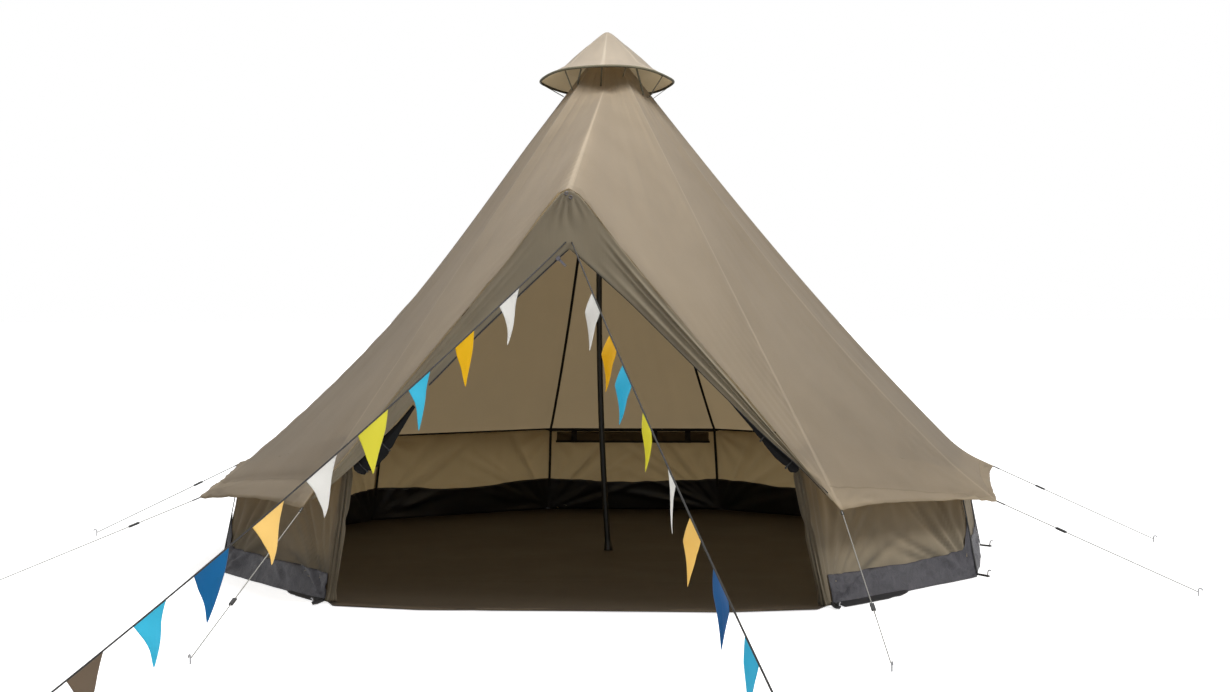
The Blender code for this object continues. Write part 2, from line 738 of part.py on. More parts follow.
def cap_binding():
    """The stiff binding round the cap's rim, with the pairs of straps down to the roof."""
    ring_radius = CAP_RADIUS - BINDING_RADIUS
    below = CAP_DROP + CAP_WALL + BINDING_RADIUS + GAP
    bm = bmesh.new()
    circle = bmesh.ops.create_circle(bm, segments=10, radius=BINDING_RADIUS)
    bmesh.ops.rotate(bm, verts=circle["verts"], matrix=Matrix.Rotation(math.pi / 2.0, 3, "X"))
    bmesh.ops.translate(bm, verts=circle["verts"], vec=(ring_radius, 0.0, 0.0))
    hub = Vector((0.0, 0.0, 0.0))
    bmesh.ops.spin(bm, geom=bm.edges[:], cent=hub, axis=UP, angle=math.tau, steps=CAP_STEPS, use_merge=True)
    bmesh.ops.remove_doubles(bm, verts=bm.verts, dist=GAP / 10.0)
    made = add_object("cap_binding", mesh_from("cap_binding", bm), "binding_tape")
    made.data.transform(Matrix.Translation((0.0, 0.0, -below)))
    made.data.transform(Matrix.Rotation(-math.radians(CAP_TILT_DEG), 4, "X"))
    made.data.transform(Matrix.Translation((0.0, 0.0, CAP_TOP_HEIGHT)))
    for azimuth in STRAP_AZIMUTHS_DEG:
        angle = math.radians(azimuth)
        x = math.sin(angle) * STRAP_FOOT_REACH
        y = -math.cos(angle) * STRAP_FOOT_REACH
        low = roof_seat(x, y, STRAP_RADIUS + GAP)
        turns = (azimuth - STRAP_SPREAD_DEG, azimuth + STRAP_SPREAD_DEG)
        ends = [cap_point(turn, ring_radius, below) for turn in turns]
        strap = applied(rod("strap", [ends[0], low, ends[1]], STRAP_RADIUS, None, CUTTERS))
        made = boolean(made, strap, "UNION")
    smooth(made.data)
    return made


# Guy lines

def peg(name, x, y, outward):
    """A steel peg's head above the ground, hooked away from the tent."""
    rise = PEG_HEIGHT - PEG_HOOK_RADIUS
    foot_point = Vector((x, y, 0.0))
    points = [foot_point, foot_point + UP * rise]
    centre = foot_point + UP * rise + outward * PEG_HOOK_RADIUS
    for step in range(1, PEG_ARC_POINTS):
        angle = math.pi * step / (PEG_ARC_POINTS - 1)
        turn = UP * math.sin(angle) - outward * math.cos(angle)
        points.append(centre + turn * PEG_HOOK_RADIUS)
    return rod(name, points, PEG_RADIUS, "peg_steel")


def guy_ends(start, x, y, radius):
    """The two ends of a taut line from a point of the tent to the inner face of a peg."""
    peg_point = Vector((x, y, GUY_TIE_HEIGHT))
    flat = level_direction(peg_point - start)
    tilt = radius * abs((peg_point - start).normalized().z)
    return start + flat * (GAP * 2.0 + tilt), peg_point - flat * (PEG_RADIUS + GAP * 2.0 + tilt)


def runner_mesh():
    """The mesh that all the runners share: a rounded bar with the line's bore along it."""
    body = block("runner", (RUNNER_LENGTH, RUNNER_WIDTH, RUNNER_THICKNESS), RUNNER_BEVEL, "black_plastic")
    reach = RUNNER_LENGTH / 2.0 + CUT_OVERRUN
    bore_line = [Vector((-reach, 0.0, 0.0)), Vector((reach, 0.0, 0.0))]
    bore = applied(rod("runner_bore", bore_line, GUY_RADIUS + RUNNER_CLEARANCE, None, CUTTERS))
    body = boolean(body, bore, "DIFFERENCE")
    mesh = body.data
    bpy.data.objects.remove(body, do_unlink=True)
    return mesh


def line_frame(origin, direction):
    """A frame at that point whose X runs along a line and whose Y is level."""
    x_axis = direction.normalized()
    y_axis = UP.cross(x_axis).normalized()
    z_axis = x_axis.cross(y_axis)
    turn = Matrix((x_axis, y_axis, z_axis)).transposed().to_4x4()
    return Matrix.Translation(origin) @ turn


def guy_lines():
    """The six guy lines that hold the eave corners, with their runners and pegs."""
    mesh = runner_mesh()
    for side_name, side in SIDES.items():
        for corner, shares in GUY_PEG_SHARES.items():
            x, y = side * shares[0] * FLOOR_HALF_WIDTH, shares[1] * FLOOR_HALF_LENGTH
            start = tip(corner, side) - UP * CLOTH_DROP / 2.0
            first, last = guy_ends(start, x, y, GUY_RADIUS)
            title = f"{corner}_{side_name}"
            points = [first.lerp(last, i / (GUY_POINTS - 1)) for i in range(GUY_POINTS)]
            rod("guy_line_" + title, points, GUY_RADIUS, "guy_cord")
            peg("guy_peg_" + title, x, y, level_direction(Vector((x, y, 0.0)) - start))
            runner = bpy.data.objects.new("guy_runner_" + title, mesh)
            PARTS.objects.link(runner)
            runner.matrix_world = line_frame(first.lerp(last, RUNNER_SHARES[corner]), last - first)


# Pennant lines

def festoon_point(start, end, share):
    """A point of a front line, which hangs a little between its ends."""
    return start.lerp(end, share) - UP * FESTOON_SAG * 4.0 * share * (1.0 - share)


def pennant_line(side_name, side):
    """A front guy line with its row of pennants sewn on."""
    x_share, y_share = FESTOON_PEG_SHARES[side_name]
    x, y = x_share * FLOOR_HALF_WIDTH, y_share * FLOOR_HALF_LENGTH
    tie = Vector((side * FESTOON_TIE_WIDTH, -HOOD_REACH, DOOR_APEX_HEIGHT + FESTOON_TIE_RISE))
    end = guy_ends(tie, x, y, FESTOON_RADIUS)[1]
    facing = (end - tie).normalized().y
    start = tie - Vector((0.0, FESTOON_RADIUS * math.sqrt(1.0 - facing * facing) + GAP * 1.5, 0.0))
    points = [festoon_point(start, end, i / (FESTOON_POINTS - 1)) for i in range(FESTOON_POINTS)]
    line = applied(rod("line", points, FESTOON_RADIUS, "dark_cord"))
    flat = level_direction(Vector((x, y, 0.0)) - tie)
    across = UP.cross(flat)
    length = (end - start).length
    for index in range(FLAG_COUNT):
        first = FLAG_FIRST_SHARES[side_name] + FLAG_PITCH_SHARES[side_name] * index
        line = boolean(line, flag(start, end, first, FLAG_WIDTH / length, across), "UNION")
    line.name = "pennant_line_" + side_name
    peg("pennant_peg_" + side_name, x, y, flat)
    return line


def flag(start, end, first, width, across):
    """One pennant: a triangle with a narrow tip that hangs from the line."""
    def place(u, v, w):
        top = festoon_point(start, end, first + width * u) - UP * FESTOON_RADIUS * FLAG_SINK_SHARE
        low = festoon_point(start, end, first + width * 0.5) - UP * FLAG_LENGTH
        run = (end - start).normalized()
        low += run * FLAG_WIDTH * FLAG_TIP_SHARE * (u - 0.5)
        return top.lerp(low, v) + across * FLAG_THICKNESS * (w - 0.5)

    return slab("pennant", 2, 3, place, None)


# Door zip

def zip_frame():
    """The frame of the slider on the left door edge, with X along the edge and Z into the cloth."""
    side = SIDES["left"]
    apex = door_edge(side, 0.0)
    run = (door_edge(side, 1.0) - apex).normalized()
    into = Vector((0.0, 1.0, 0.0)).cross(run)
    if into.z < 0.0:
        into = -into
    through = into.cross(run)
    turn = Matrix((run, through, into)).transposed().to_4x4()
    middle = apex + run * SLIDER_START + Vector((0.0, WALL_THICKNESS / 2.0, 0.0))
    return Matrix.Translation(middle) @ turn


def zip_slider():
    """The metal slider that straddles the door's edge, and the pull that hangs from it."""
    frame = zip_frame()
    below = SLIDER_HEIGHT / 2.0 - SLIDER_GRIP
    body = block("zip_slider", (SLIDER_LENGTH, SLIDER_DEPTH, SLIDER_HEIGHT), SLIDER_BEVEL, "zip_metal")
    body.data.transform(Matrix.Translation((0.0, 0.0, -below)))
    slot_size = (SLIDER_LENGTH + CUT_OVERRUN, WALL_THICKNESS + SLIDER_CLEARANCE * 2.0, SLIDER_GRIP * 2.0)
    slot = block("zip_slot", slot_size, 0.0, None, CUTTERS)
    slot.data.transform(Matrix.Translation((0.0, 0.0, SLIDER_GRIP - SLIDER_CLEARANCE)))
    body = boolean(body, slot, "DIFFERENCE")
    body.matrix_world = frame
    pivot = Vector((0.0, 0.0, SLIDER_GRIP - SLIDER_HEIGHT - GAP - PULL_BARREL_RADIUS))
    half = PULL_WIDTH / 2.0
    barrel = applied(rod("zip_pull", [Vector((-half, 0.0, 0.0)), Vector((half, 0.0, 0.0))],
                         PULL_BARREL_RADIUS, "zip_metal"))
    tab = block("zip_tab", (PULL_WIDTH, PULL_THICKNESS, PULL_LENGTH), 0.0, None, CUTTERS)
    tab.data.transform(Matrix.Translation((0.0, 0.0, -PULL_LENGTH / 2.0)))
    pull = boolean(barrel, tab, "UNION")
    hole_line = [Vector((0.0, -CUT_OVERRUN, 0.0)), Vector((0.0, CUT_OVERRUN, 0.0))]
    hole = applied(rod("zip_hole", hole_line, PULL_HOLE_RADIUS, None, CUTTERS))
    hole.data.transform(Matrix.Translation((0.0, 0.0, PULL_HOLE_RADIUS * 2.0 - PULL_LENGTH)))
    pull = boolean(pull, hole, "DIFFERENCE")
    pull.name = "zip_pull"
    pull.matrix_world = frame @ Matrix.Translation(pivot)


def build():
    """Make every piece of the tent."""
    for name, first, second in panel_corners():
        roof_panel(name, first, second)
        wall_panel(name, first, second)
    for side_name, side in SIDES.items():
        hood_panel(side_name, side)
        hood_face(side_name, side)
        door_roll(side_name, side)
        mesh_roll(side_name, side)
        pennant_line(side_name, side)
    groundsheet_floor()
    groundsheet_rim()
    pole_foot()
    pole_sections()
    pole_spike()
    crown_patch()
    vent_cap()
    cap_binding()
    guy_lines()
    zip_slider()


build()
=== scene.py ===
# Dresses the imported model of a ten-cornered pyramid tent with a centre pole and a hooded front door.
# Metres, +Z up, the door faces -Y. Each section makes one piece of the real tent, cords first.
import math

import bpy
import numpy as np
from mathutils import Matrix, Vector


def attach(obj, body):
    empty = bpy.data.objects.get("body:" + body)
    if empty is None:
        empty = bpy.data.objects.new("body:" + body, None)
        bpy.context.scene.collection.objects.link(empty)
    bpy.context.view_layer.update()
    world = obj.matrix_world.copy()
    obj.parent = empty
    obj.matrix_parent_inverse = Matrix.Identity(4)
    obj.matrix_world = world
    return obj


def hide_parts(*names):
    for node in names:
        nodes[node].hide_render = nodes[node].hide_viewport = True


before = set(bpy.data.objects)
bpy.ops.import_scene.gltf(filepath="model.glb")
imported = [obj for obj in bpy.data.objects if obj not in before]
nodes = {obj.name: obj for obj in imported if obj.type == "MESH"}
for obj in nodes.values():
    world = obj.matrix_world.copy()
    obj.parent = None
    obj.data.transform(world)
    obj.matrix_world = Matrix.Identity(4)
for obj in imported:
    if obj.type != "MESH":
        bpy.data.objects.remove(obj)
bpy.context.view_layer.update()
scene = bpy.context.scene
bpy.ops.object.select_all(action="DESELECT")


# Camera
# It stands about ten metres before the door and a little to the right, at a grown person's chest.
bpy.ops.object.camera_add()
camera = bpy.context.object
camera.name = "camera"
camera.data.lens = 62.34
camera.data.sensor_width = 36.0
turned = Matrix.Rotation(math.radians(4.08), 4, "Z") @ Matrix.Rotation(math.radians(88.562), 4, "X")
turned = turned @ Matrix.Rotation(math.radians(-0.12), 4, "Z")
camera.matrix_world = Matrix.Translation((0.7741, -10.3711, 1.2658)) @ turned
scene.camera = camera


# Floor and light
# A pale studio floor that runs out of sight, a white surround, one lamp high on the right, a weaker and
# broader one in front of it and one above the door. What the camera sees of the floor is white.
FLOOR_GLOW = 0.76
SURROUND_LEVEL = 0.235
LAMP_HIGH_AIM = Vector((0.0, 0.0, 1.6))
scene.view_settings.view_transform = "Standard"


def paint(code):
    """An sRGB hex colour as the linear values that a shader takes."""
    shares = [int(code[i : i + 2], 16) / 255.0 for i in (1, 3, 5)]
    return (*[s / 12.92 if s <= 0.04045 else ((s + 0.055) / 1.055) ** 2.4 for s in shares], 1.0)


def join(node, inputs):
    """Set each input of a node to a value, or link it to another node's output."""
    for socket, value in inputs.items():
        if isinstance(value, bpy.types.NodeSocket):
            node.id_data.links.new(value, node.inputs[socket])
        else:
            node.inputs[socket].default_value = value


def add_node(tree, kind, inputs=None, out=0, **settings):
    """Add a node with its settings and inputs. It returns the output that the next node reads."""
    made = tree.nodes.new("ShaderNode" + kind)
    for field, value in settings.items():
        setattr(made, field, value)
    join(made, inputs or {})
    return made.outputs[out]


def seen_directly(tree):
    """An output that is 1 for what is seen straight, in a reflection or through something clear."""
    path = tree.nodes.new("ShaderNodeLightPath").outputs
    either = add_node(tree, "Math", {0: path["Is Camera Ray"], 1: path["Is Glossy Ray"]}, operation="MAXIMUM")
    return add_node(tree, "Math", {0: either, 1: path["Is Transmission Ray"]}, operation="MAXIMUM")


def start_material(name, colour, roughness, metallic=0.0):
    """A material with its plain values: itself, its node tree, its shader and Object coordinates."""
    made = bpy.data.materials.new(name)
    made.use_nodes = True
    shader = made.node_tree.nodes["Principled BSDF"]
    join(shader, {"Base Color": paint(colour), "Roughness": roughness, "Metallic": metallic})
    return made, made.node_tree, shader, add_node(made.node_tree, "TexCoord", out="Object")


# Matt painted studio floor.
floor_paint, tree, shader, _ = start_material("matt_floor_paint", "#ffffff", 0.9)
seen = seen_directly(tree)
floor_colour = add_node(tree, "Mix", {0: seen, 6: paint("#808080"), 7: paint("#ffffff")}, 2, data_type="RGBA")
own_light = add_node(tree, "Math", {0: seen, 1: FLOOR_GLOW}, operation="MULTIPLY")
join(shader, {"Base Color": floor_colour, "Emission Color": paint("#ffffff"), "Emission Strength": own_light})
bpy.ops.mesh.primitive_plane_add(size=160.0, location=(0.0, 0.0, -0.0015))
floor = bpy.context.object
floor.name = "studio_floor"
bpy.ops.object.transform_apply(location=True)
floor.data.materials.append(floor_paint)

world = bpy.data.worlds.new("studio_surround")
scene.world = world
world.use_nodes = True
tree = world.node_tree
level = add_node(tree, "Mix", {0: seen_directly(tree), 2: SURROUND_LEVEL, 3: 1.0})
join(tree.nodes["Background"], {"Color": paint("#ffffff"), "Strength": level})

for name, strength, spread, turn in (
    ("lamp_right", 1.42, 16.0, (44.0, 0.0, 64.0)),
    ("lamp_front", 0.48, 60.0, (66.0, 0.0, 44.0)),
):
    bpy.ops.object.light_add(type="SUN")
    lamp = bpy.context.object
    lamp.name = name
    lamp.data.energy = strength
    lamp.data.angle = math.radians(spread)
    lamp.rotation_euler = [math.radians(angle) for angle in turn]

bpy.ops.object.light_add(type="AREA", location=(-0.1, -1.9, 4.0))
lamp = bpy.context.object
lamp.name = "lamp_high"
lamp.data.energy = 84.0
lamp.data.size = 1.5
lamp.rotation_euler = (LAMP_HIGH_AIM - lamp.location).to_track_quat("-Z", "Y").to_euler()
lamp.visible_camera = False


# Guy lines
# Six thin braided polyester cords, 4 mm, that pull the eave's corners out to pegs. Each is knotted to a
# webbing loop at the eave, runs through its slider and round its peg.
GUY_DIAMETER = 0.004
GUY_ROUTES = {
    "front": ((1.06513, -2.05121, 0.4125), (1.18906, -3.24648, 0.02)),
    "side_front": ((1.79233, -0.89712, 0.3395), (2.55663, -1.40668, 0.02)),
    "side_middle": ((1.89354, 0.2573, 0.4025), (2.71517, 0.50959, 0.02)),
}
SIDES = {"left": -1.0, "right": 1.0}


def lay_line(name, points, radius, finish, resolution=3):
    """A cord, wire or rolled edge along a row of points, as one open curve."""
    curve = bpy.data.curves.new(name, "CURVE")
    curve.dimensions = "3D"
    curve.bevel_depth = radius
    curve.bevel_resolution = resolution
    curve.use_fill_caps = True
    spline = curve.splines.new("POLY")
    spline.points.add(len(points) - 1)
    for target, point in zip(spline.points, points):
        target.co = (*point, 1.0)
    made = bpy.data.objects.new(name, curve)
    scene.collection.objects.link(made)
    curve.materials.append(finish)
    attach(made, "tent")
    return made


def braided_cord(name, colour, roughness, scale, dark, light):
    """Braided polyester cord, which has no shine, with the dark flecks of its braid."""
    made, tree, shader, place = start_material(name, colour, roughness)
    braid = add_node(tree, "TexWave", {"Vector": place, "Scale": scale, "Distortion": 3.0}, "Fac",
                     bands_direction="DIAGONAL")
    fleck = add_node(tree, "Mix", {0: braid, 6: paint(dark), 7: paint(light)}, 2, data_type="RGBA")
    join(shader, {"Base Color": fleck})
    return made


# A soft grey braid with a pitch of 3 mm.
guy_braid = braided_cord("braided_polyester_cord", "#a9a79f", 0.8, 105.0, "#7d7b75", "#bab8b0")
for side_name, side in SIDES.items():
    for corner, ends in GUY_ROUTES.items():
        first, last = (Vector((side * x, y, z)) for x, y, z in ends)
        title = f"{corner}_{side_name}"
        cord = lay_line("guy_cord_" + title, [first.lerp(last, i / 23) for i in range(24)],
                        GUY_DIAMETER / 2.0, guy_braid)
        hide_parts("guy_line_" + title)


# Pennant lines
# Two dark braided cords, 6 mm, from the hood's apex over the door to far pegs before the tent. They
# hang a little, and nine plain nylon pennants are sewn over each with a sleeve.
PENNANT_ROUTES = {
    "left": ((-0.012, -2.05222, 1.463), (-1.3698, -4.75089, 0.02)),
    "right": ((0.012, -2.05168, 1.463), (0.98159, -5.90767, 0.02)),
}
PENNANT_SAG = 0.044
PENNANT_CORD_RADIUS = 0.003
PENNANT_STARTS = {
    "left": (0.110, 0.210, 0.301, 0.384, 0.478, 0.569, 0.658, 0.752, 0.840),
    "right": (0.122, 0.217, 0.281, 0.373, 0.474, 0.557, 0.634, 0.727, 0.815),
}
PENNANT_SPANS = {
    "left": (0.151, 0.134, 0.146, 0.188, 0.181, 0.175, 0.179, 0.157, 0.164),
    "right": (0.185, 0.140, 0.170, 0.130, 0.130, 0.150, 0.180, 0.160, 0.160),
}
PENNANT_COLOURS = (
    ("white_nylon", "#f4f3f0"),
    ("golden_nylon", "#f4d41c"),
    ("cyan_nylon", "#5cd9ee"),
    ("lime_nylon", "#efea62"),
    ("white_nylon", "#f4f3f0"),
    ("peach_nylon", "#ffe8a6"),
    ("blue_nylon", "#1688bd"),
    ("cyan_nylon", "#5cd9ee"),
    ("taupe_nylon", "#94836f"),
)
PENNANT_WIDTH = 0.160
PENNANT_LENGTH = 0.180
THIN_CLOTH = 0.0012


def line_point(ends, share):
    """A point of a pennant line, which hangs a little between its ends."""
    first, last = (Vector(end) for end in ends)
    return first.lerp(last, share) - Vector((0.0, 0.0, PENNANT_SAG * 4.0 * share * (1.0 - share)))


# A dark matt braid with a pitch of 4 mm.
dark_braid = braided_cord("dark_braided_cord", "#1d1b19", 0.75, 80.0, "#131211", "#35322f")
for side_name, ends in PENNANT_ROUTES.items():
    cord = lay_line("pennant_cord_" + side_name, [line_point(ends, i / 39) for i in range(40)],
                    PENNANT_CORD_RADIUS, dark_braid)
    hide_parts("pennant_line_" + side_name)


def lay_cloth(name, columns, rows, place, chart=None, folds=None):
    """A sheet cut as a grid and laid where place(u, v) puts it, with u across and v down.
    chart(u, v, face_u) gives each face corner its place on the cloth's own map, in metres.
    folds(u, v) gives each point a factor near 1 that its colour is multiplied by: painted shade of the folds."""
    bpy.ops.object.select_all(action="DESELECT")
    bpy.ops.mesh.primitive_grid_add(x_subdivisions=columns, y_subdivisions=rows, size=2.0)
    made = bpy.context.object
    made.name = name
    mesh = made.data
    spots = np.empty(len(mesh.vertices) * 3)
    mesh.vertices.foreach_get("co", spots)
    u, v = (spots[0::3] + 1.0) / 2.0, (1.0 - spots[1::3]) / 2.0
    laid = np.asarray(place(u, v), dtype=float)
    mesh.vertices.foreach_set("co", laid.ravel())
    if chart:
        owners = np.empty(len(mesh.loops), dtype=int)
        mesh.loops.foreach_get("vertex_index", owners)
        face_u = np.repeat(u[owners].reshape(-1, 4).mean(axis=1), 4)
        mesh.uv_layers[0].data.foreach_set("uv", np.stack(chart(u[owners], v[owners], face_u), 1).ravel())
    if folds:
        mesh.attributes.new("painted_fold_shade", "FLOAT", "POINT").data.foreach_set("value", folds(u, v))
    mesh.update()
    return made


def finish_cloth(made, thickness, *finishes, weld=False, flip=False):
    """Turn a sheet over or sew its ends together if asked, and give it finishes and a thickness inwards."""
    if flip:
        made.data.flip_normals()
    for finish in finishes:
        made.data.materials.append(finish)
    bpy.context.view_layer.objects.active = made
    if weld:
        joined = made.modifiers.new("Weld", "WELD")
        joined.merge_threshold = 0.0002
        bpy.ops.object.modifier_apply(modifier=joined.name)
    if thickness:
        layer = made.modifiers.new("Solidify", "SOLIDIFY")
        layer.thickness = thickness
        layer.offset = -1.0
        layer.material_offset = len(finishes) - 1
        bpy.ops.object.modifier_apply(modifier=layer.name)
    made.data.shade_smooth()
    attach(made, "tent")


def wandering(across, down, seed):
    """Smooth random values from -1 to 1 over squares one unit wide, the same on every run."""
    table = np.random.default_rng(seed).uniform(-1.0, 1.0, (97, 97))
    column, row = np.floor(across).astype(int), np.floor(down).astype(int)
    x, y = across - column, down - row
    x, y = x * x * (3.0 - 2.0 * x), y * y * (3.0 - 2.0 * y)
    near = table[column % 97, row % 97] * (1.0 - x) + table[(column + 1) % 97, row % 97] * x
    far = table[column % 97, (row + 1) % 97] * (1.0 - x) + table[(column + 1) % 97, (row + 1) % 97] * x
    return near * (1.0 - y) + far * y


def plain_weave(tree, place, scale, weft_way, strength, depth):
    """The relief of yarns that cross, one set along X and one along weft_way."""
    warp, weft = (add_node(tree, "TexWave", {"Vector": place, "Scale": scale}, "Fac", bands_direction=way)
                  for way in ("X", weft_way))
    weave = add_node(tree, "Math", {0: warp, 1: weft}, operation="MAXIMUM")
    return add_node(tree, "Bump", {"Height": weave, "Strength": strength, "Distance": depth})


def let_light_through(tree, shader, share, colour):
    """Make a cloth's shader pass that share of its light on, tinted."""
    glow = add_node(tree, "BsdfTranslucent", {"Color": paint(colour)})
    both = add_node(tree, "MixShader", {0: share, 1: shader.outputs[0], 2: glow})
    join(tree.nodes["Material Output"], {"Surface": both})


def thin_nylon(name, colour):
    """Plain-woven flag nylon: a clear colour, a soft sheen, and some light that comes through."""
    made, tree, shader, place = start_material(name, colour, 0.62)
    # The weave's real pitch is 0.3 mm; it is drawn at 1.5 mm so that it shows at all.
    relief = plain_weave(tree, place, 210.0, "Z", 0.12, 0.0003)
    join(shader, {"Sheen Weight": 0.25, "Sheen Roughness": 0.4, "Normal": relief})
    let_light_through(tree, shader, 0.5, colour)
    return made


nylons = {name: thin_nylon(name, colour) for name, colour in sorted(set(PENNANT_COLOURS))}
# How far each pennant's point swings along its line, how deep it curls and how far the wind leans it
# out of its line, from the door outwards.
PENNANT_SWINGS = {
    "left": ((0.010, 0.018, 0.0), (-0.004, -0.014, 0.0), (0.006, 0.020, 0.0), (0.008, -0.016, 0.0),
             (-0.014, 0.022, 0.0), (-0.020, 0.016, 0.0), (0.024, -0.020, 0.0), (-0.022, 0.024, 0.0),
             (0.012, 0.015, 0.0)),
    "right": ((0.006, 0.030, -0.024), (-0.004, 0.036, -0.024), (-0.012, 0.034, -0.022), (-0.010, 0.024, 0.0),
              (0.004, -0.010, 0.0), (-0.018, 0.028, -0.018), (0.016, 0.026, 0.0), (-0.010, 0.010, -0.006),
              (0.008, 0.014, 0.0)),
}
for side_name, ends in PENNANT_ROUTES.items():
    first, last = (Vector(end) for end in ends)
    length = (last - first).length
    run = np.array((last - first).normalized())
    out = np.array((-run[1], run[0], 0.0)) / math.hypot(run[0], run[1])
    for index, (finish, _) in enumerate(PENNANT_COLOURS):
        start = PENNANT_STARTS[side_name][index]
        left_end = np.array(line_point(ends, start))
        right_end = np.array(line_point(ends, start + PENNANT_SPANS[side_name][index] / length))
        swing, curl, lean = PENNANT_SWINGS[side_name][index]
        middle_height = (left_end[2] + right_end[2]) / 2.0

        def hanging(u, v):
            """A triangle that hangs from its sleeve, its free part curled and swung aside."""
            left_edge = (1.0 - v) ** 0.82
            right_edge = 0.86 * (1.0 - v) ** 1.5 + 0.14 * np.sqrt(1.0 - v)
            taper = np.where(u < 0.5, left_edge, right_edge)
            middle = 0.5 + (u - 0.5) * taper
            spots = left_end + (right_end - left_end) * middle[:, None]
            top = left_end + (right_end - left_end) * u[:, None]
            level = top[:, 2] * (1.0 - v) ** 1.3 + middle_height * (1.0 - (1.0 - v) ** 1.3)
            spots[:, 2] = level - 0.0015 - (PENNANT_LENGTH - 0.004) * v
            sway = swing * v ** 1.5 + 0.004 * np.sin(v * 8.0 + index) * v
            roll = np.sin(np.pi * (u - 0.5) * 0.9 + 1.1 * v * np.sign(curl)) * taper
            fold = 0.6 * curl * (roll * np.minimum(v * 3.0, 1.0) + 0.5 * np.sin(np.pi * v * 1.1) * v)
            fold += lean * np.minimum(v * 3.0, 1.0)
            return spots + run * sway[:, None] + out * fold[:, None]

        pennant = lay_cloth(f"pennant_{side_name}_{index + 1}", 20, 26, hanging,
                            lambda u, v, _: (u * PENNANT_WIDTH, v * PENNANT_LENGTH))
        finish_cloth(pennant, THIN_CLOTH, nylons[finish])


# Groundsheet floor
# A sheet of dark coated polyethylene weave, sewn to the walls all round and laid on the ground, with a
# hemmed lip before the door. It keeps the creases of its packing and a little dust.
CORNER_FEET = ((1.0394, -1.7510, 0.0), (1.7001, -0.8508, 0.0), (1.8209, 0.2472, 0.0), (1.4182, 1.2978, 0.0),
               (0.4996, 1.9797, 0.0))
WALL_TOPS = ((0.9254, -1.7813, 0.687), (1.6168, -0.8091, 0.48), (1.7316, 0.2351, 0.48),
             (1.3488, 1.2342, 0.48), (0.4751, 1.8827, 0.48))


def both_sides(points):
    """Right-hand points from front to back, then the same on the left from back to front."""
    right = np.array(points, dtype=float)
    left = right[::-1] * (-1.0, 1.0, 1.0)
    return np.concatenate((right, left))


def blend(first, last, share):
    """Points at a share of the way from the first row of points to the last."""
    return first * (1.0 - share)[:, None] + last * share[:, None]


def around(points, share):
    """Points of an open row at shares from 0 to 1, each stretch between two points taking as much."""
    position = np.clip(share, 0.0, 1.0) * (len(points) - 1)
    first = np.minimum(position.astype(int), len(points) - 2)
    return blend(points[first], points[first + 1], position - first)


def unit(rows):
    """Rows brought to a length of one."""
    return rows / np.maximum(np.linalg.norm(rows, axis=-1, keepdims=True), 1e-9)


def close_to(value, middle, wide):
    """1 at the middle, and falling smoothly to nothing about two widths away."""
    return np.exp(-(((value - middle) / wide) ** 2))


feet = both_sides(CORNER_FEET)
tops = both_sides(WALL_TOPS)
lip = np.array(((-0.975, -1.905, 0.0), (-0.605, -2.0, 0.0), (0.605, -2.0, 0.0), (0.975, -1.905, 0.0)))
inset = feet - unit(feet) * 0.006
floor_edge = np.concatenate((inset, lip, inset[:1]))
PACKING_CREASES = (-1.15, -0.38, 0.39, 1.17)
GROUNDSHEET_THICKNESS = 0.0028


def floor_place(u, v):
    """The floor from its edge in to its middle, with the creases of its packing both ways."""
    spots = around(floor_edge, u) * (1.0 - v)[:, None]
    x, y = spots[:, 0], spots[:, 1]
    height = 0.0042 + 0.0012 * wandering(x * 3.1 + 40.0, y * 3.1 + 40.0, 4)
    for place, run in ((x, y), (y, x)):
        for line in PACKING_CREASES:
            crease = close_to(place - 0.012 * np.sin(run * 2.3 + line * 9.0), line, 0.011)
            height += 0.0022 * crease * (0.6 + 0.4 * wandering(run * 2.0 + 9.0, line + 0.0 * run, 5))
    spots[:, 2] = height
    return spots


# Polyethylene weave with a thin coating: near black brown, a low sheen, dusty in broad patches.
coated_weave, tree, shader, place = start_material("coated_polyethylene_weave", "#2c241b", 0.55)
dust = add_node(tree, "TexNoise", {"Vector": place, "Scale": 1.7, "Detail": 6.0, "Roughness": 0.62})
dusty = add_node(tree, "Mix", {0: dust, 6: paint("#241d15"), 7: paint("#3a3125")}, 2, data_type="RGBA")
sheen = add_node(tree, "MapRange", {0: dust, 3: 0.48, 4: 0.72})
# The tapes of the weave are 2.5 mm wide; they are drawn at 5 mm.
relief = plain_weave(tree, place, 63.0, "Y", 0.2, 0.0006)
join(shader, {"Base Color": dusty, "Roughness": sheen, "Normal": relief})

groundsheet = lay_cloth("groundsheet", 208, 72, floor_place)
finish_cloth(groundsheet, GROUNDSHEET_THICKNESS, coated_weave, weld=True)
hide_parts("groundsheet_floor")


# Walls
# Nine low upright panels of coated polycotton, sewn to the roof at their top and to the groundsheet at
# their foot. The cloth is one run from door post to door post, pinched at its corners and seams.
WALL_PANELS = 9
WALL_HEIGHT = 0.48
WALL_PANEL_WIDTH = 1.09
WALL_THICKNESS = 0.0016
ROOF_UNDERSIDE = 0.0056
OUTMOST_FOLD = -0.004
HALF_ROWS = 220
RIDGE_SAGS = (0.0, 0.0951, 0.058, 0.058, 0.0499)
EAVE_TIPS = ((1.065, -2.05, 0.415), (1.7913, -0.8964, 0.342), (1.8922, 0.2569, 0.405),
             (1.4714, 1.3464, 0.405), (0.5172, 2.0495, 0.405))
PEAK = 2.49
CROWN = 2.41
HOOD_NOTCH = 2.235
PULL_ANGLES = (0.24, 0.40, 0.55, 0.72, 0.95)
tips = both_sides(EAVE_TIPS)
sags = np.concatenate((RIDGE_SAGS, RIDGE_SAGS[::-1]))


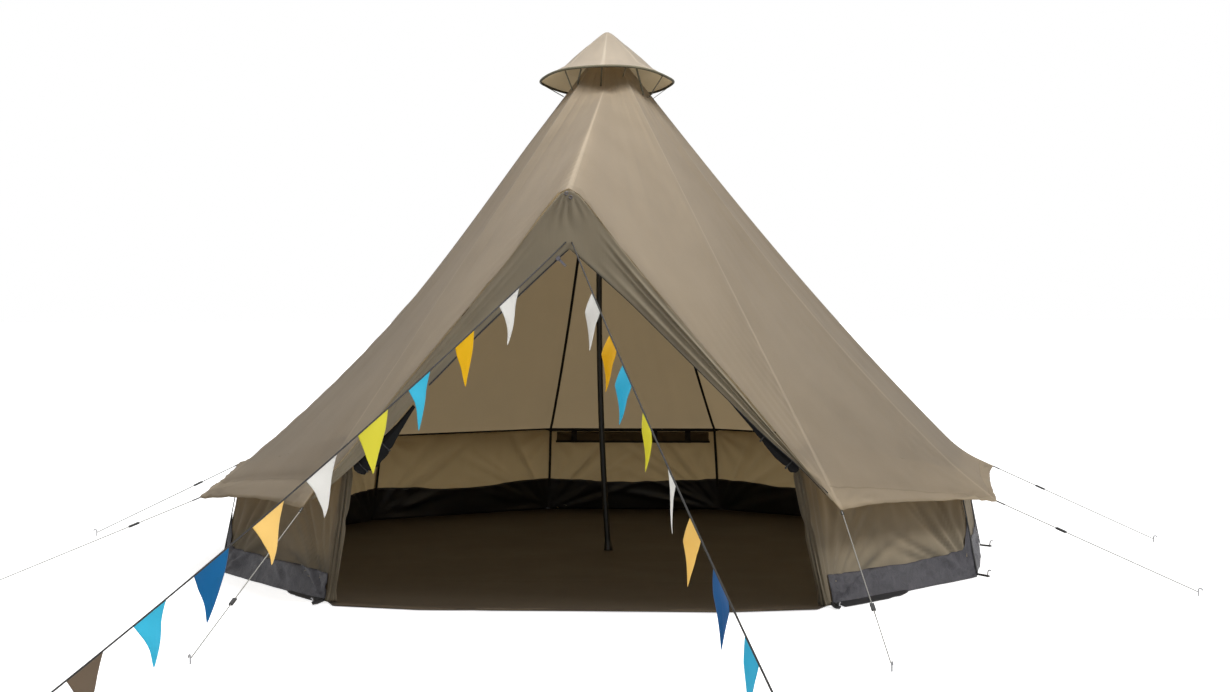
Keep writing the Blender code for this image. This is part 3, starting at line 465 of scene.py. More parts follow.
def ridge_row(index, heights):
    """Points of a roof ridge at those heights. It hangs a little between the peak and the wall."""
    low = tips[index] if index in (0, 9) else tops[index]
    share = (PEAK - heights) / (PEAK - low[2])
    skewed = share ** 1.25
    extra = 0.042 * np.clip((share - 0.25) / 0.75, 0.0, 1.0) if low[0] < 0.0 and index != 9 else 0.0
    hollow = sags[index] * 4.0 * skewed * (1.0 - skewed) + extra * np.sin(np.pi * share) * 2.0
    level = np.array((low[0], low[1], 0.0)) / math.hypot(low[0], low[1])
    top = np.array((0.0, 0.0, PEAK))
    return top + (low - top) * share[:, None] - level * hollow[:, None]


def roof_rails():
    """The roof's twelve rails from the hood's middle all round, each from the crown to the hem."""
    rows = []
    down = np.linspace(0.0, 1.0, HALF_ROWS + 1)
    for index in range(10):
        upper = ridge_row(index, CROWN + (tops[index][2] - CROWN) * down[:-1])
        skirt = tops[index] + (tips[index] - tops[index]) * down[:, None]
        rows.append(np.concatenate((upper, skirt)))
    crown, notch, apex = np.array(((0.0, -0.079, CROWN), (0.0, -0.215, HOOD_NOTCH), (0.0, -2.05, 1.684)))
    heights = rows[0][:, 2]
    high = np.clip((CROWN - heights) / (CROWN - HOOD_NOTCH), 0.0, 1.0)[:, None]
    low = np.clip((HOOD_NOTCH - heights) / (HOOD_NOTCH - EAVE_TIPS[0][2]), 0.0, 1.0)[:, None]
    middle = crown + (notch - crown) * high + (apex - notch) * low
    for row in rows:
        length = np.concatenate(([0.0], np.cumsum(np.linalg.norm(np.diff(row, axis=0), axis=1))))
        part = (length - length[HALF_ROWS] + 0.10) / 0.20
        bend = (part > 0.0) & (part < 1.0)
        start, end = row[bend][0], row[bend][-1]
        part = part[bend][:, None]
        row[bend] = start * (1.0 - part) ** 2 + row[HALF_ROWS] * 2.0 * part * (1.0 - part) + end * part ** 2
    return np.array([middle] + rows + [middle])


rails = roof_rails()


def on_rail(index, v):
    """A rail's point at v, from 0 at the crown by 0.5 at the wall's top to 1 at the hem."""
    position = np.clip(v, 0.0, 1.0) * (rails.shape[1] - 1)
    first = np.minimum(position.astype(int), rails.shape[1] - 2)
    return blend(rails[index, first], rails[index, first + 1], position - first)


def beside_hood(panel):
    """True for the roof's nine side panels, and not for the two of the hood."""
    return (panel > 0) & (panel < 10)


def roof_base(panel, local, v):
    """The smooth roof: panels 0 and 10 are the hood's, 1 to 9 run round from right to left."""
    first, last = on_rail(panel, v), on_rail(panel + 1, v)
    spots = blend(first, last, local)
    side_panel = beside_hood(panel)
    belly = 4.0 * local * (1.0 - local)
    spots[:, 2] -= np.where(side_panel, 0.022 * belly * np.sin(np.pi * np.minimum(v * 2.0, 1.0)), 0.0)
    sideways = np.where(panel == 0, local, 1.0 - local) * np.abs(last[:, 0] - first[:, 0])
    fall = np.abs(last[:, 2] - first[:, 2]) / np.maximum(np.abs(last[:, 0] - first[:, 0]), 1e-6)
    blunt = 0.036 * np.clip(v * 1.15, 0.12, 1.0)
    rounding = fall * (np.hypot(sideways, blunt) - sideways - 0.8 * blunt * close_to(sideways, 0.0, 0.17))
    spots[:, 2] -= np.where(side_panel, 0.0, rounding)
    half = np.full_like(v, 0.5)
    skirt = unit(first + last - on_rail(panel, half) - on_rail(panel + 1, half))
    lift = np.where(side_panel, 0.03 * belly * np.maximum(v * 2.0 - 1.0, 0.0), 0.0)
    return spots - skirt * lift[:, None]


def wall_base(panel, local, height_share, inward):
    """The smooth walls, from the ground at 0 to the roof's underside at 1, and their outward way."""
    low = blend(feet[panel], feet[panel + 1], local)
    high = roof_base(panel + 1, local, np.full_like(local, 0.5)) - (0.0, 0.0, ROOF_UNDERSIDE)
    spots = blend(low, high, height_share)
    level = unit(spots * (1.0, 1.0, 0.0))
    return spots - level * np.asarray(inward)[:, None], level


def wall_creases(panel, local, v):
    """How far the wall cloth stands in from its flat shape: pulls from its corners and slack folds."""
    width = np.linalg.norm(feet[panel + 1] - feet[panel], axis=1)
    across, height = local * width, (1.0 - v) * WALL_HEIGHT
    below_roof = WALL_HEIGHT - height
    depth = 0.0
    for end, seed in ((across, 15), (width - across, 16)):
        held = np.minimum(end / 0.05, 1.0)
        reach = np.hypot(end, height * 1.1) + 0.02
        angle = np.arctan2(height, end + 0.01)
        fan = np.sin(angle * 15.0 + 3.0 * wandering(panel * 3.0 + angle * 2.0, reach * 3.0, 11))
        depth += 0.0070 * fan * close_to(reach, 0.2, 0.22) * held
        for number, start in enumerate(PULL_ANGLES):
            shift = 0.09 * wandering(panel * 2.0 + number * 5.0, reach * 1.4, seed)
            pull = close_to(angle - shift, start, 0.034) * close_to(reach, 0.36, 0.28)
            strong = 0.6 + 0.4 * wandering(panel * 3.0 + 0.5, panel * 0.0 + number * 3.0, seed + 4)
            depth += 0.0200 * strong * pull * np.minimum(end / 0.04, 1.0)
        top = np.hypot(end, below_roof) + 0.02
        turn = np.arctan2(below_roof, end + 0.01)
        depth += 0.0040 * np.sin(turn * 13.0 + panel) * close_to(top, 0.16, 0.15) * held
    slant = across * 0.9 + height * 0.7
    depth += 0.0050 * wandering(slant * 9.0 + panel * 7.0, height * 3.5 + panel, 12)
    depth += 0.0020 * wandering(across * 24.0 + panel * 5.0, height * 7.0, 13)
    gathers = np.sin(across * 130.0 + 4.0 * wandering(across * 6.0, panel * 1.0, 14))
    depth += 0.0016 * gathers * np.exp(-below_roof / 0.035)
    depth = depth * np.where((panel == 1) | (panel == 7), 0.35, 1.0)
    return depth + 0.010 * np.sin(np.pi * local) * np.sin(np.pi * (1.0 - v) ** 0.8)


def panel_of(u, count):
    """The panel that a place round the tent falls in, and the share across it."""
    panel = np.minimum((u * count).astype(int), count - 1)
    return panel, u * count - panel


def wall_place(u, v):
    """The walls with their creases, from the roof down."""
    panel, local = panel_of(u, WALL_PANELS)
    inward = 0.0006 + np.maximum(wall_creases(panel, local, v), OUTMOST_FOLD)
    return wall_base(panel, local, 1.0 - v, inward)[0]


def painted_fold_shades(creases, count, rows, strength):
    """Painted shade of the creases: a factor near 1, a little darker where the cloth turns down or to the
    left.
    """
    def tones(u, v):
        panel, local = panel_of(u, count)
        v = rows(v)
        below, above = (creases(panel, local, np.clip(v + step, 0.0, 1.0)) for step in (0.02, -0.02))
        right, left = (creases(panel, np.clip(local + step, 0.0, 1.0), v) for step in (0.012, -0.012))
        return 1.0 - np.clip(strength * (below - above - 0.5 * (right - left)), -0.26, 0.24)
    return tones


def seam_chart(count, wide, tall):
    """A cloth map in metres whose X starts again at every seam."""
    def chart(u, v, face_u):
        panel, _ = panel_of(face_u, count)
        return (u * count - panel) * wide, v * tall
    return chart


def coated_polycotton(name, outside, shadow, through, light, seam_width=None, skirt=False, folds=False):
    """Coated polycotton tent cloth: matt, faintly mottled, with a fine weave and a soft sheen."""
    made, tree, shader, place = start_material(name, outside, 0.82)
    mottle = add_node(tree, "TexNoise", {"Vector": place, "Scale": 2.6, "Detail": 7.0, "Roughness": 0.6})
    spread = add_node(tree, "MapRange", {0: mottle, 1: 0.3, 2: 0.7})
    tint = add_node(tree, "Mix", {0: spread, 6: paint(shadow), 7: paint(outside)}, 2, data_type="RGBA")
    # Slub yarns, real ones 0.5 to 1 mm thick and a hand long, are drawn at 3 mm.
    slub_place = add_node(tree, "Mapping", {"Vector": place, "Scale": (140.0, 140.0, 9.0)})
    slub = add_node(tree, "TexNoise", {"Vector": slub_place, "Scale": 1.0, "Detail": 3.0})
    faint = add_node(tree, "MapRange", {0: slub, 3: 0.94, 4: 1.05})
    colour = add_node(tree, "Mix", {0: 1.0, 6: tint, 7: faint}, 2, data_type="RGBA", blend_type="MULTIPLY")
    if folds:
        # The folds' attribute multiplies the colour: painted shade of the creases, or of a gathered part.
        fold = add_node(tree, "Attribute", out="Fac", attribute_name="painted_fold_shade")
        colour = add_node(tree, "Mix", {0: 1.0, 6: colour, 7: fold}, 2, data_type="RGBA",
                          blend_type="MULTIPLY")
    # The weave's real pitch is 0.4 mm; it is drawn at 2 mm.
    fine = add_node(tree, "TexNoise", {"Vector": place, "Scale": 420.0, "Detail": 2.0})
    height = add_node(tree, "Math", {0: slub, 1: fine}, operation="ADD")
    if seam_width:
        # A felled seam, 16 mm wide, with its two rows of stitches 4 mm from either edge.
        chart = place.node.outputs["UV"]
        beside, below = add_node(tree, "SeparateXYZ", {0: chart}).node.outputs[:2]
        other = add_node(tree, "Math", {0: seam_width, 1: beside}, operation="SUBTRACT")
        near = add_node(tree, "Math", {0: beside, 1: other}, operation="MINIMUM")
        fell = add_node(tree, "MapRange", {0: near, 1: 0.011, 2: 0.013, 3: 1.0, 4: 0.0})
        row = add_node(tree, "Math", {0: near, 1: 0.009}, operation="SUBTRACT")
        gap = add_node(tree, "Math", {0: row}, operation="ABSOLUTE")
        line = add_node(tree, "MapRange", {0: gap, 1: 0.0006, 2: 0.0014, 3: 1.0, 4: 0.0})
        dashes = add_node(tree, "TexWave", {"Vector": chart, "Scale": 78.0}, "Fac", bands_direction="Y")
        stitch = add_node(tree, "Math", {0: line, 1: dashes}, operation="MULTIPLY")
        raised = add_node(tree, "Math", {0: height, 1: fell}, operation="ADD")
        height = add_node(tree, "Math", {0: raised, 1: stitch}, operation="SUBTRACT")
        # The fell is tinted 30% towards the pale through-light colour: a painted highlight along the seams.
        worn = add_node(tree, "Math", {0: fell, 1: 0.3}, operation="MULTIPLY")
        lighter = add_node(tree, "Mix", {0: worn, 6: colour, 7: paint(light)}, 2, data_type="RGBA")
        colour = add_node(tree, "Mix", {0: stitch, 6: lighter, 7: paint(shadow)}, 2, data_type="RGBA")
    if skirt:
        # The seam that sews the skirt on, with the shade under its lap.
        away = add_node(tree, "Math", {0: below}, operation="ABSOLUTE")
        lap = add_node(tree, "MapRange", {0: away, 1: 0.004, 2: 0.034, 3: 0.60, 4: 0.0})
        colour = add_node(tree, "Mix", {0: lap, 6: colour, 7: paint("#5d5444")}, 2, data_type="RGBA")
    relief = add_node(tree, "Bump", {"Height": height, "Strength": 0.35, "Distance": 0.0012})
    join(shader, {"Base Color": colour, "Normal": relief, "Sheen Weight": 0.12, "Sheen Roughness": 0.5})
    let_light_through(tree, shader, through, light)
    return made


wall_cloth = coated_polycotton("coated_polycotton_wall", "#9f927c", "#8d826e", 0.24, "#d8c8a8",
                               WALL_PANEL_WIDTH, folds=True)
wall_lining = coated_polycotton("coated_polycotton_wall_inside", "#a09070", "#8f8064", 0.72, "#f6ead0",
                                folds=True)
# The walls' colour gets painted shade from their creases.
walls = lay_cloth("walls", WALL_PANELS * 72, 36, wall_place,
                  seam_chart(WALL_PANELS, WALL_PANEL_WIDTH, WALL_HEIGHT),
                  painted_fold_shades(wall_creases, WALL_PANELS, lambda v: v, 26.0))
finish_cloth(walls, WALL_THICKNESS, wall_cloth, wall_lining)
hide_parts(*[n for n in nodes if n.startswith("wall_panel_")])


# Flysheet
# The roof: nine long panels and the two of the hood, cut from coated polycotton, joined by felled seams
# along the ridges and pulled taut between the crown and the guyed eave. Its skirt hides the wall's top.
ROOF_PANELS = 11
ROOF_THICKNESS = 0.0022
ROOF_LENGTH = 5.0
SKIRT_FROM = 0.88
SKIRT_SEAMS = np.array((0.84, 0.84, 0.92, 0.80, 0.76, 0.76, 0.76, 0.76, 0.76, 0.75, 0.815, 0.815))


def skirt_seam(panel, local):
    """How far down the skirt's seam crosses a panel, measured as v is."""
    return SKIRT_SEAMS[panel] * (1.0 - local) + SKIRT_SEAMS[panel + 1] * local


def roof_creases(panel, local, v):
    """How far the roof cloth stands out of its smooth shape."""
    width = np.linalg.norm(on_rail(panel + 1, v) - on_rail(panel, v), axis=1)
    down = np.minimum(v, 0.5) * 2.0
    across = local * width
    edge = np.minimum(local, 1.0 - local) * width
    hold = np.minimum(edge / 0.05, 1.0) * np.clip(down / 0.1, 0.0, 1.0)
    depth = 0.0055 * wandering(local * 5.0 + panel * 11.0, down * 1.6 + panel, 21)
    depth += 0.0034 * wandering(local * 22.0 + panel * 13.0, down * 1.6 + panel, 22)
    low = np.clip((v - 0.18) / 0.32, 0.0, 1.0)
    fine = np.sin(across * 88.0 + 5.0 * wandering(local * 3.0 + panel, down * 1.5, 23))
    depth += 0.0036 * fine * low * (0.3 + 0.7 * np.exp(-edge / 0.22))
    dent = 0.011 * np.exp(-np.abs(v - skirt_seam(panel, local)) / 0.045)
    depth -= np.where(beside_hood(panel), dent, 0.0)
    above_hem = (1.0 - v) * 1.9
    for end in (across, width - across):
        angle = np.arctan2(above_hem, end + 0.015)
        reach = np.hypot(end, above_hem) + 0.02
        depth += 0.0075 * np.sin(angle * 17.0 + panel * 2.0) * close_to(reach, 0.20, 0.20)
    return depth * hold


def sheet_rows(v):
    """Rows are spread so that the skirt below the wall's top has as fine a grid as the roof."""
    return np.where(v < SKIRT_FROM, v / SKIRT_FROM * 0.5, 0.5 + (v - SKIRT_FROM) / (1.0 - SKIRT_FROM) * 0.5)


def roof_place(u, v):
    """The roof with its creases, which stand out along its own outward way."""
    v = sheet_rows(v)
    panel, local = panel_of(u, ROOF_PANELS)
    right, left = (roof_base(panel, np.clip(local + step, 0.0, 1.0), v) for step in (0.002, -0.002))
    below, above = (roof_base(panel, local, np.clip(v + step, 0.0, 1.0)) for step in (0.002, -0.002))
    outward = unit(np.cross(below - above, right - left))
    return roof_base(panel, local, v) + outward * roof_creases(panel, local, v)[:, None]


def roof_chart(u, v, face_u):
    """The cloth's map: X is the share from the seam on its left, Y about the metres below the skirt's."""
    panel, _ = panel_of(face_u, ROOF_PANELS)
    local = u * ROOF_PANELS - panel
    seam = np.where(beside_hood(panel), skirt_seam(panel, local), -1.0)
    return local, (sheet_rows(v) - seam) * ROOF_LENGTH


roof_cloth = coated_polycotton("coated_polycotton_roof", "#998d7b", "#8c806e", 0.38, "#dfd0b8", 1.0,
                               skirt=True, folds=True)
roof_lining = coated_polycotton("coated_polycotton_roof_inside", "#a89878", "#998a6c", 0.55, "#f2e6cc")
# The roof's colour gets painted shade from its creases.
flysheet = lay_cloth("flysheet", ROOF_PANELS * 26, 118, roof_place, roof_chart,
                     painted_fold_shades(roof_creases, ROOF_PANELS, sheet_rows, 9.0))
finish_cloth(flysheet, ROOF_THICKNESS, roof_cloth, roof_lining, weld=True)
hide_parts(*[n for n in nodes if n.startswith(("roof_panel_", "hood_panel_"))])


# Groundsheet rim
# The groundsheet's edge stands up inside the walls as a low tub, hung on their inner face. The same dark
# sheet as the floor, folded over at its top, which sags between its ties.
RIM_HEIGHT = 0.186
RIM_SAG = 0.018
RIM_INSIDE = 0.0105


def on_wall(panel, local, height, inward):
    """A point of the walls at a height above the ground, that far in from the cloth and its folds."""
    high = roof_base(panel + 1, local, np.full_like(local, 0.5))[:, 2] - ROOF_UNDERSIDE
    share = np.clip(height / high, 0.0, 1.0)
    folds = np.maximum(wall_creases(panel, local, 1.0 - share), OUTMOST_FOLD)
    return wall_base(panel, local, share, folds + inward)[0]


def rim_place(u, v):
    """The tub's rim, a centimetre inside the walls, with its top sagging between its ties."""
    panel, local = panel_of(u, WALL_PANELS)
    top = RIM_HEIGHT - RIM_SAG * np.sin(np.pi * local) ** 2 * (1.0 + 0.5 * wandering(u * 40.0, u * 0.0, 31))
    top += 0.003 * wandering(u * 120.0, u * 0.0, 32)
    height = 0.006 + (top - 0.006) * (1.0 - v)
    slack = 0.004 * np.abs(wandering(u * 90.0, v * 3.0, 33)) * (1.0 - v)
    return on_wall(panel, local, height, RIM_INSIDE + slack)


# The sheet's smooth side: black with a low shine on its folds.
coated_rim, tree, shader, place = start_material("coated_polyethylene_rim", "#191a1c", 0.5)
rub = add_node(tree, "TexNoise", {"Vector": place, "Scale": 11.0, "Detail": 5.0})
rubbed = add_node(tree, "Mix", {0: rub, 6: paint("#121315"), 7: paint("#26272a")}, 2, data_type="RGBA")
relief = add_node(tree, "Bump", {"Height": rub, "Strength": 0.3, "Distance": 0.004})
join(shader, {"Base Color": rubbed, "Normal": relief})

rim = lay_cloth("groundsheet_tub", WALL_PANELS * 72, 14, rim_place)
finish_cloth(rim, THIN_CLOTH, coated_rim)
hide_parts("groundsheet_rim")


# Mud band
# A strip of grey coated cloth sewn round the foot of the walls against splashes. It is slack, it sags
# between the pegged corners, and its seam with the wall runs a little unevenly.
BAND_HEIGHT = 0.116
BAND_POINT = 0.15
BAND_OUTSIDE = 0.0046


def band_place(u, v):
    """The band outside the walls, which reaches up to a point at the side corners."""
    panel, local = panel_of(u, WALL_PANELS)
    near = np.minimum(local, 1.0 - local) * WALL_PANEL_WIDTH
    beside_door = (u < 0.5 / WALL_PANELS) | (u > 1.0 - 0.5 / WALL_PANELS)
    near = np.where(beside_door, 1.0, near)
    top = BAND_HEIGHT + 0.008 * wandering(u * 30.0, u * 0.0, 41) + 0.003 * wandering(u * 110.0, u * 0.0, 42)
    side_corner = np.minimum(np.abs(u * WALL_PANELS - 4.5) - 2.0, 2.0) > 0.0
    top += np.where(side_corner, BAND_POINT * np.maximum(1.0 - near / 0.075, 0.0) ** 1.4, 0.0)
    height = 0.0015 + (top - 0.0015) * (1.0 - v)
    calm = np.clip(near / 0.1, 0.15, 1.0)
    slack = 0.0090 * wandering(u * 95.0 + v * 2.4, v * 1.6, 43)
    slack += 0.0065 * wandering(u * 210.0 - v * 4.0, v * 2.0, 44)
    flare = 0.010 * v ** 2 * np.sin(np.pi * local) ** 0.5
    bulge = np.maximum(slack, -0.001) * np.sin(np.pi * np.minimum(v + 0.02, 1.0)) * calm
    return on_wall(panel, local, height, -BAND_OUTSIDE - bulge - flare)


# Polyurethane-coated polyester, dark grey with a cool cast, crumpled and mottled.
coated_polyester, tree, shader, place = start_material("coated_polyester_band", "#3a383d", 0.6)
crumple = add_node(tree, "TexNoise", {"Vector": place, "Scale": 23.0, "Detail": 8.0, "Roughness": 0.66,
                                      "Distortion": 0.7})
mottle = add_node(tree, "MapRange", {0: crumple, 1: 0.3, 2: 0.7})
tint = add_node(tree, "Mix", {0: mottle, 6: paint("#2b2a2f"), 7: paint("#4b494f")}, 2, data_type="RGBA")
relief = add_node(tree, "Bump", {"Height": crumple, "Strength": 0.9, "Distance": 0.008})
join(shader, {"Base Color": tint, "Normal": relief})

band = lay_cloth("mud_band", WALL_PANELS * 60, 12, band_place)
finish_cloth(band, THIN_CLOTH, coated_polyester)


# Tub edge and lip hem
# Beside the door the groundsheet's black tub shows as a narrow fold on the ground under the mud band,
# and its lip before the door is hemmed with a lighter brown tape.
for side_name, side in SIDES.items():
    def fold_place(u, v):
        """The fold lies along the front wall's foot and narrows away from the door."""
        local = 0.01 + 0.47 * u if side > 0.0 else 0.99 - 0.30 * u
        panel = np.full(len(u), 0 if side > 0.0 else 8)
        low = blend(feet[panel], feet[panel + 1], local)
        reach = (0.064 if side > 0.0 else 0.030) * np.clip((1.0 - u) / 0.25, 0.0, 1.0) ** 0.7
        reach = reach * (1.0 + 0.12 * wandering(u * 9.0, u * 0.0, 45)) + 0.016
        spots = low + unit(low) * (reach * v)[:, None]
        spots[:, 2] = 0.0035 + 0.007 * (1.0 - v)
        return spots

    fold = lay_cloth("tub_fold_" + side_name, 50, 6, fold_place)
    finish_cloth(fold, THIN_CLOTH, coated_rim, flip=side < 0.0)


def woven_tape(name, colour, roughness, scale, way, strength, depth, worn=None):
    """Flat polyester tape, matt and ribbed, and worn to two tones where worn gives them."""
    made, tree, shader, place = start_material(name, colour, roughness)
    ribs = add_node(tree, "TexWave", {"Vector": place, "Scale": scale}, "Fac", bands_direction=way)
    relief = add_node(tree, "Bump", {"Height": ribs, "Strength": strength, "Distance": depth})
    join(shader, {"Normal": relief})
    if worn:
        rub = add_node(tree, "TexNoise", {"Vector": place, "Scale": 14.0, "Detail": 4.0})
        tint = add_node(tree, "Mix", {0: rub, 6: paint(worn[0]), 7: paint(worn[1])}, 2, data_type="RGBA")
        join(shader, {"Base Color": tint})
    return made


HEM_WIDTH = 0.060
TAPE_THICKNESS = 0.0008
# The ribs of a hem tape are 1 mm apart; they are drawn at 2.5 mm.
hem_tape = woven_tape("woven_polyester_hem_tape", "#4a3f30", 0.8, 126.0, "X", 0.4, 0.0006)


def hem_place(u, v):
    """The tape lies on the lip, in from its edge."""
    row = around(lip, u)
    row[:, 1] += 0.001 + HEM_WIDTH * v
    row[:, 2] = 0.0062 + 0.0010 * wandering(u * 30.0, v, 46)
    return row


hem = lay_cloth("lip_hem_tape", 80, 3, hem_place)
finish_cloth(hem, TAPE_THICKNESS, hem_tape)


# Hood fascia
# The upright cloth under the hood's front edge, to which the door is zipped. It is deep at the apex and
# runs out to nothing at the hood's corners, and hangs in creases from the apex's eyelet.
APEX = np.array((0.0, -2.05, 1.684))
DOOR_APEX = np.array((0.0, -2.05, 1.443))
HOOD_HALF_WIDTH = 1.065
HOOD_FALL = 1.269
DOOR_FALL = 1.028
DOOR_RISES = {
    -1.0: ((0.0, 0.0), (0.15, 0.006), (0.342, 0.010), (0.50, 0.0), (0.56, 0.0), (0.64, -0.027),
           (0.77, -0.036), (0.90, -0.022), (1.0, 0.0)),
    1.0: ((0.0, 0.0), (0.22, 0.017), (0.50, 0.007), (0.73, 0.001), (0.84, 0.013), (1.0, 0.0)),
}


def door_edge(side, share):
    """Points of the door opening's slanting edge at shares from its apex to the hood's corner."""
    share = np.asarray(share, dtype=float)
    shares, rises = np.array(DOOR_RISES[side]).T
    lift = sum(np.interp(share + shift, shares, rises) for shift in (-0.04, -0.02, 0.0, 0.02, 0.04)) / 5.0
    lift = lift * np.clip(share / 0.04, 0.0, 1.0) * np.clip((1.0 - share) / 0.04, 0.0, 1.0)
    return DOOR_APEX + np.stack((side * HOOD_HALF_WIDTH * share, 0.0 * share, lift - DOOR_FALL * share), -1)


def fascia_place(u, v):
    """The fascia from the hood's edge down to the door's edge, with its creases."""
    turn = 2.0 * u - 1.0
    share = np.abs(turn) * 0.965
    across = HOOD_HALF_WIDTH * np.sign(turn) * share
    upper = APEX + np.stack((across, 0.0 * share, -0.0048 - HOOD_FALL * share), 1)
    aside = np.abs(upper[:, 0])
    upper[:, 2] -= 1.19 * (np.hypot(aside, 0.0385) - aside - 0.0288 * close_to(aside, 0.0, 0.17))
    lower = np.where(turn[:, None] > 0.0, door_edge(1.0, share), door_edge(-1.0, share))
    lower[:, 2] -= 0.6 * (np.hypot(aside, 0.012) - aside)
    spots = upper + (lower - upper) * v[:, None]
    drop = APEX[2] - spots[:, 2]
    lean = np.arctan2(spots[:, 0], drop + 0.02)
    fan = np.sin(lean * 27.0 + 0.8 + 2.0 * wandering(lean * 3.0 + 9.0, drop * 9.0, 52))
    fan *= close_to(drop, 0.085, 0.06) * close_to(spots[:, 0], -0.03, 0.07)
    folds = np.zeros_like(v)
    for middle, wide, deep in ((0.20, 0.055, 0.009), (0.40, 0.05, 0.006), (0.74, 0.07, 0.006)):
        folds += deep * close_to(v - 0.04 * np.sin(share * 7.0), middle, wide)
    along_edge = np.clip((share - 0.10) / 0.2, 0.0, 1.0) * np.where(turn > 0.0, 1.0, 0.45)
    calm = np.clip((1.0 - v) / 0.12, 0.15, 1.0)
    depth = 0.0056 * fan + 0.003 * wandering(turn * 9.0 + 20.0, v * 2.0 + 5.0, 51) - folds * along_edge
    spots[:, 1] += np.clip(depth * calm, -0.011, 0.004) + 0.0012
    return spots


# Near black zip tape. Its ribs are 0.8 mm apart; they are drawn at 2 mm.
zip_tape = woven_tape("woven_polyester_zip_tape", "#201f20", 0.7, 157.0, "X", 0.4, 0.0005)

fascia_cloth = coated_polycotton("coated_polycotton_fascia", "#aba089", "#998f7c", 0.25, "#d8caae")
fascia = lay_cloth("hood_fascia", 220, 26, fascia_place)
finish_cloth(fascia, WALL_THICKNESS, fascia_cloth)
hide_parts("hood_face_left", "hood_face_right")

for side_name, side, reach, shown in (("left", -1.0, 0.52, 0.0065), ("right", 1.0, 0.94, 0.0030)):
    def tape_place(u, v):
        """The tape runs along the door's edge behind the fascia and shows a little below it."""
        share = 0.004 + reach * u
        edge = door_edge(side, share)
        ahead = unit(door_edge(side, share + 0.01) - edge)
        across = np.stack((-ahead[:, 2] * side, 0.0 * u, ahead[:, 0] * side), 1)
        return edge + across * (0.010 - (0.010 + shown) * v)[:, None] + (0.0, 0.0030, 0.0)

    tape = lay_cloth("zip_tape_" + side_name, 120, 3, tape_place)
    finish_cloth(tape, TAPE_THICKNESS, zip_tape, flip=side < 0.0)


# Door wings
# The two halves of the zipped door, gathered to either side and tied back. Each hangs from the fascia
# down to the groundsheet's corner in long folds that close up towards the foot.
def wing_place(side):
    """The place of a gathered wing: a folded tube that is tied in at its middle."""
    top = np.array((side * 0.884, -2.004, 0.628))
    low = np.array((side * 1.006, -1.796, 0.008))

    def place(u, v):
        turn = u * math.tau
        middle = top + (low - top) * v[:, None]
        middle[:, 0] -= side * 0.004 * np.sin(np.pi * v)
        folds = 0.30 * np.cos(7.0 * turn + 2.2 * v + side) + 0.16 * np.cos(11.0 * turn - 3.0 * v)
        folds += 0.10 * wandering(u * 24.0, v * 4.0, 61)
        tie = 1.0 - 0.34 * close_to(v, 0.45, 0.05)
        wide = 0.021 * (1.0 - 0.25 * v) * np.clip(v * 6.0 + 0.15, 0.15, 1.0)
        wide = (wide + 0.010 * close_to(v, 1.0, 0.05)) * tie
        reach = wide * (1.0 + folds * np.sin(np.pi * np.clip(v * 0.96 + 0.02, 0.0, 1.0)) ** 0.3)
        middle[:, 0] += np.cos(turn) * reach * 0.86
        middle[:, 1] += np.sin(turn) * reach
        middle[:, 2] += 0.012 * np.cos(turn * 3.0) * v * (1.0 - v)
        middle[:, 2] = np.maximum(middle[:, 2], 0.0075)
        return middle
    return place


for side_name, side in SIDES.items():
    # The wings' colour is darkened to 0.66 of the wall cloth's: painted shade of their gathered folds.
    wing = lay_cloth("door_wing_" + side_name, 120, 60, wing_place(side), folds=lambda u, v: 0.66 + 0.0 * u)
    finish_cloth(wing, WALL_THICKNESS, wall_cloth, weld=True)
    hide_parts("door_roll_" + side_name)

    def jamb_place(u, v):
        """The wall's own front strip, which runs in slack folds from the wall to the wing."""
        wall_high, wall_low = np.array((side * 0.934, -1.763, 0.676)), np.array((side * 1.044, -1.733, 0.006))
        wing_high, wing_low = np.array((side * 0.882, -2.006, 0.634)), np.array((side * 1.004, -1.800, 0.006))
        near = wall_high + (wall_low - wall_high) * v[:, None]
        far = wing_high + (wing_low - wing_high) * v[:, None]
        spots = near + (far - near) * u[:, None]
        folds = 0.010 * np.sin(u * 13.0 + 1.5 * v + side) + 0.004 * wandering(u * 9.0, v * 4.0, 62)
        spots[:, 0] += side * folds * np.sin(np.pi * u) ** 0.5 * (1.0 - 0.6 * v) * np.minimum(v * 8.0, 1.0)
        return spots

    # The strips' colour is darkened to 0.82 of the wall cloth's: painted shade.
    jamb = lay_cloth("wall_front_strip_" + side_name, 40, 50, jamb_place, folds=lambda u, v: 0.82 + 0.0 * u)
    finish_cloth(jamb, WALL_THICKNESS, wall_cloth, flip=side < 0.0)


# Insect mesh
# The door's black mesh, rolled up behind the fascia's edge and held by elastic toggles. It is slack and
# lumpy, thick at the middle of the roll.
MESH_PLANE = -2.020
MESH_TIES = (0.48, 0.86)
ELASTIC_RADIUS = 0.0022
TOGGLE_RADIUS = 0.0038
TOGGLE_LENGTH = 0.026
MESH_AXES = {
    1.0: ((0.622, 0.848, 0.004), (0.716, 0.746, 0.009), (0.817, 0.6365, 0.019), (0.895, 0.566, 0.021)),
    -1.0: ((-0.620, 0.818, 0.005), (-0.680, 0.735, 0.013), (-0.741, 0.655, 0.027), (-0.805, 0.595, 0.034),
           (-0.855, 0.560, 0.026)),
}


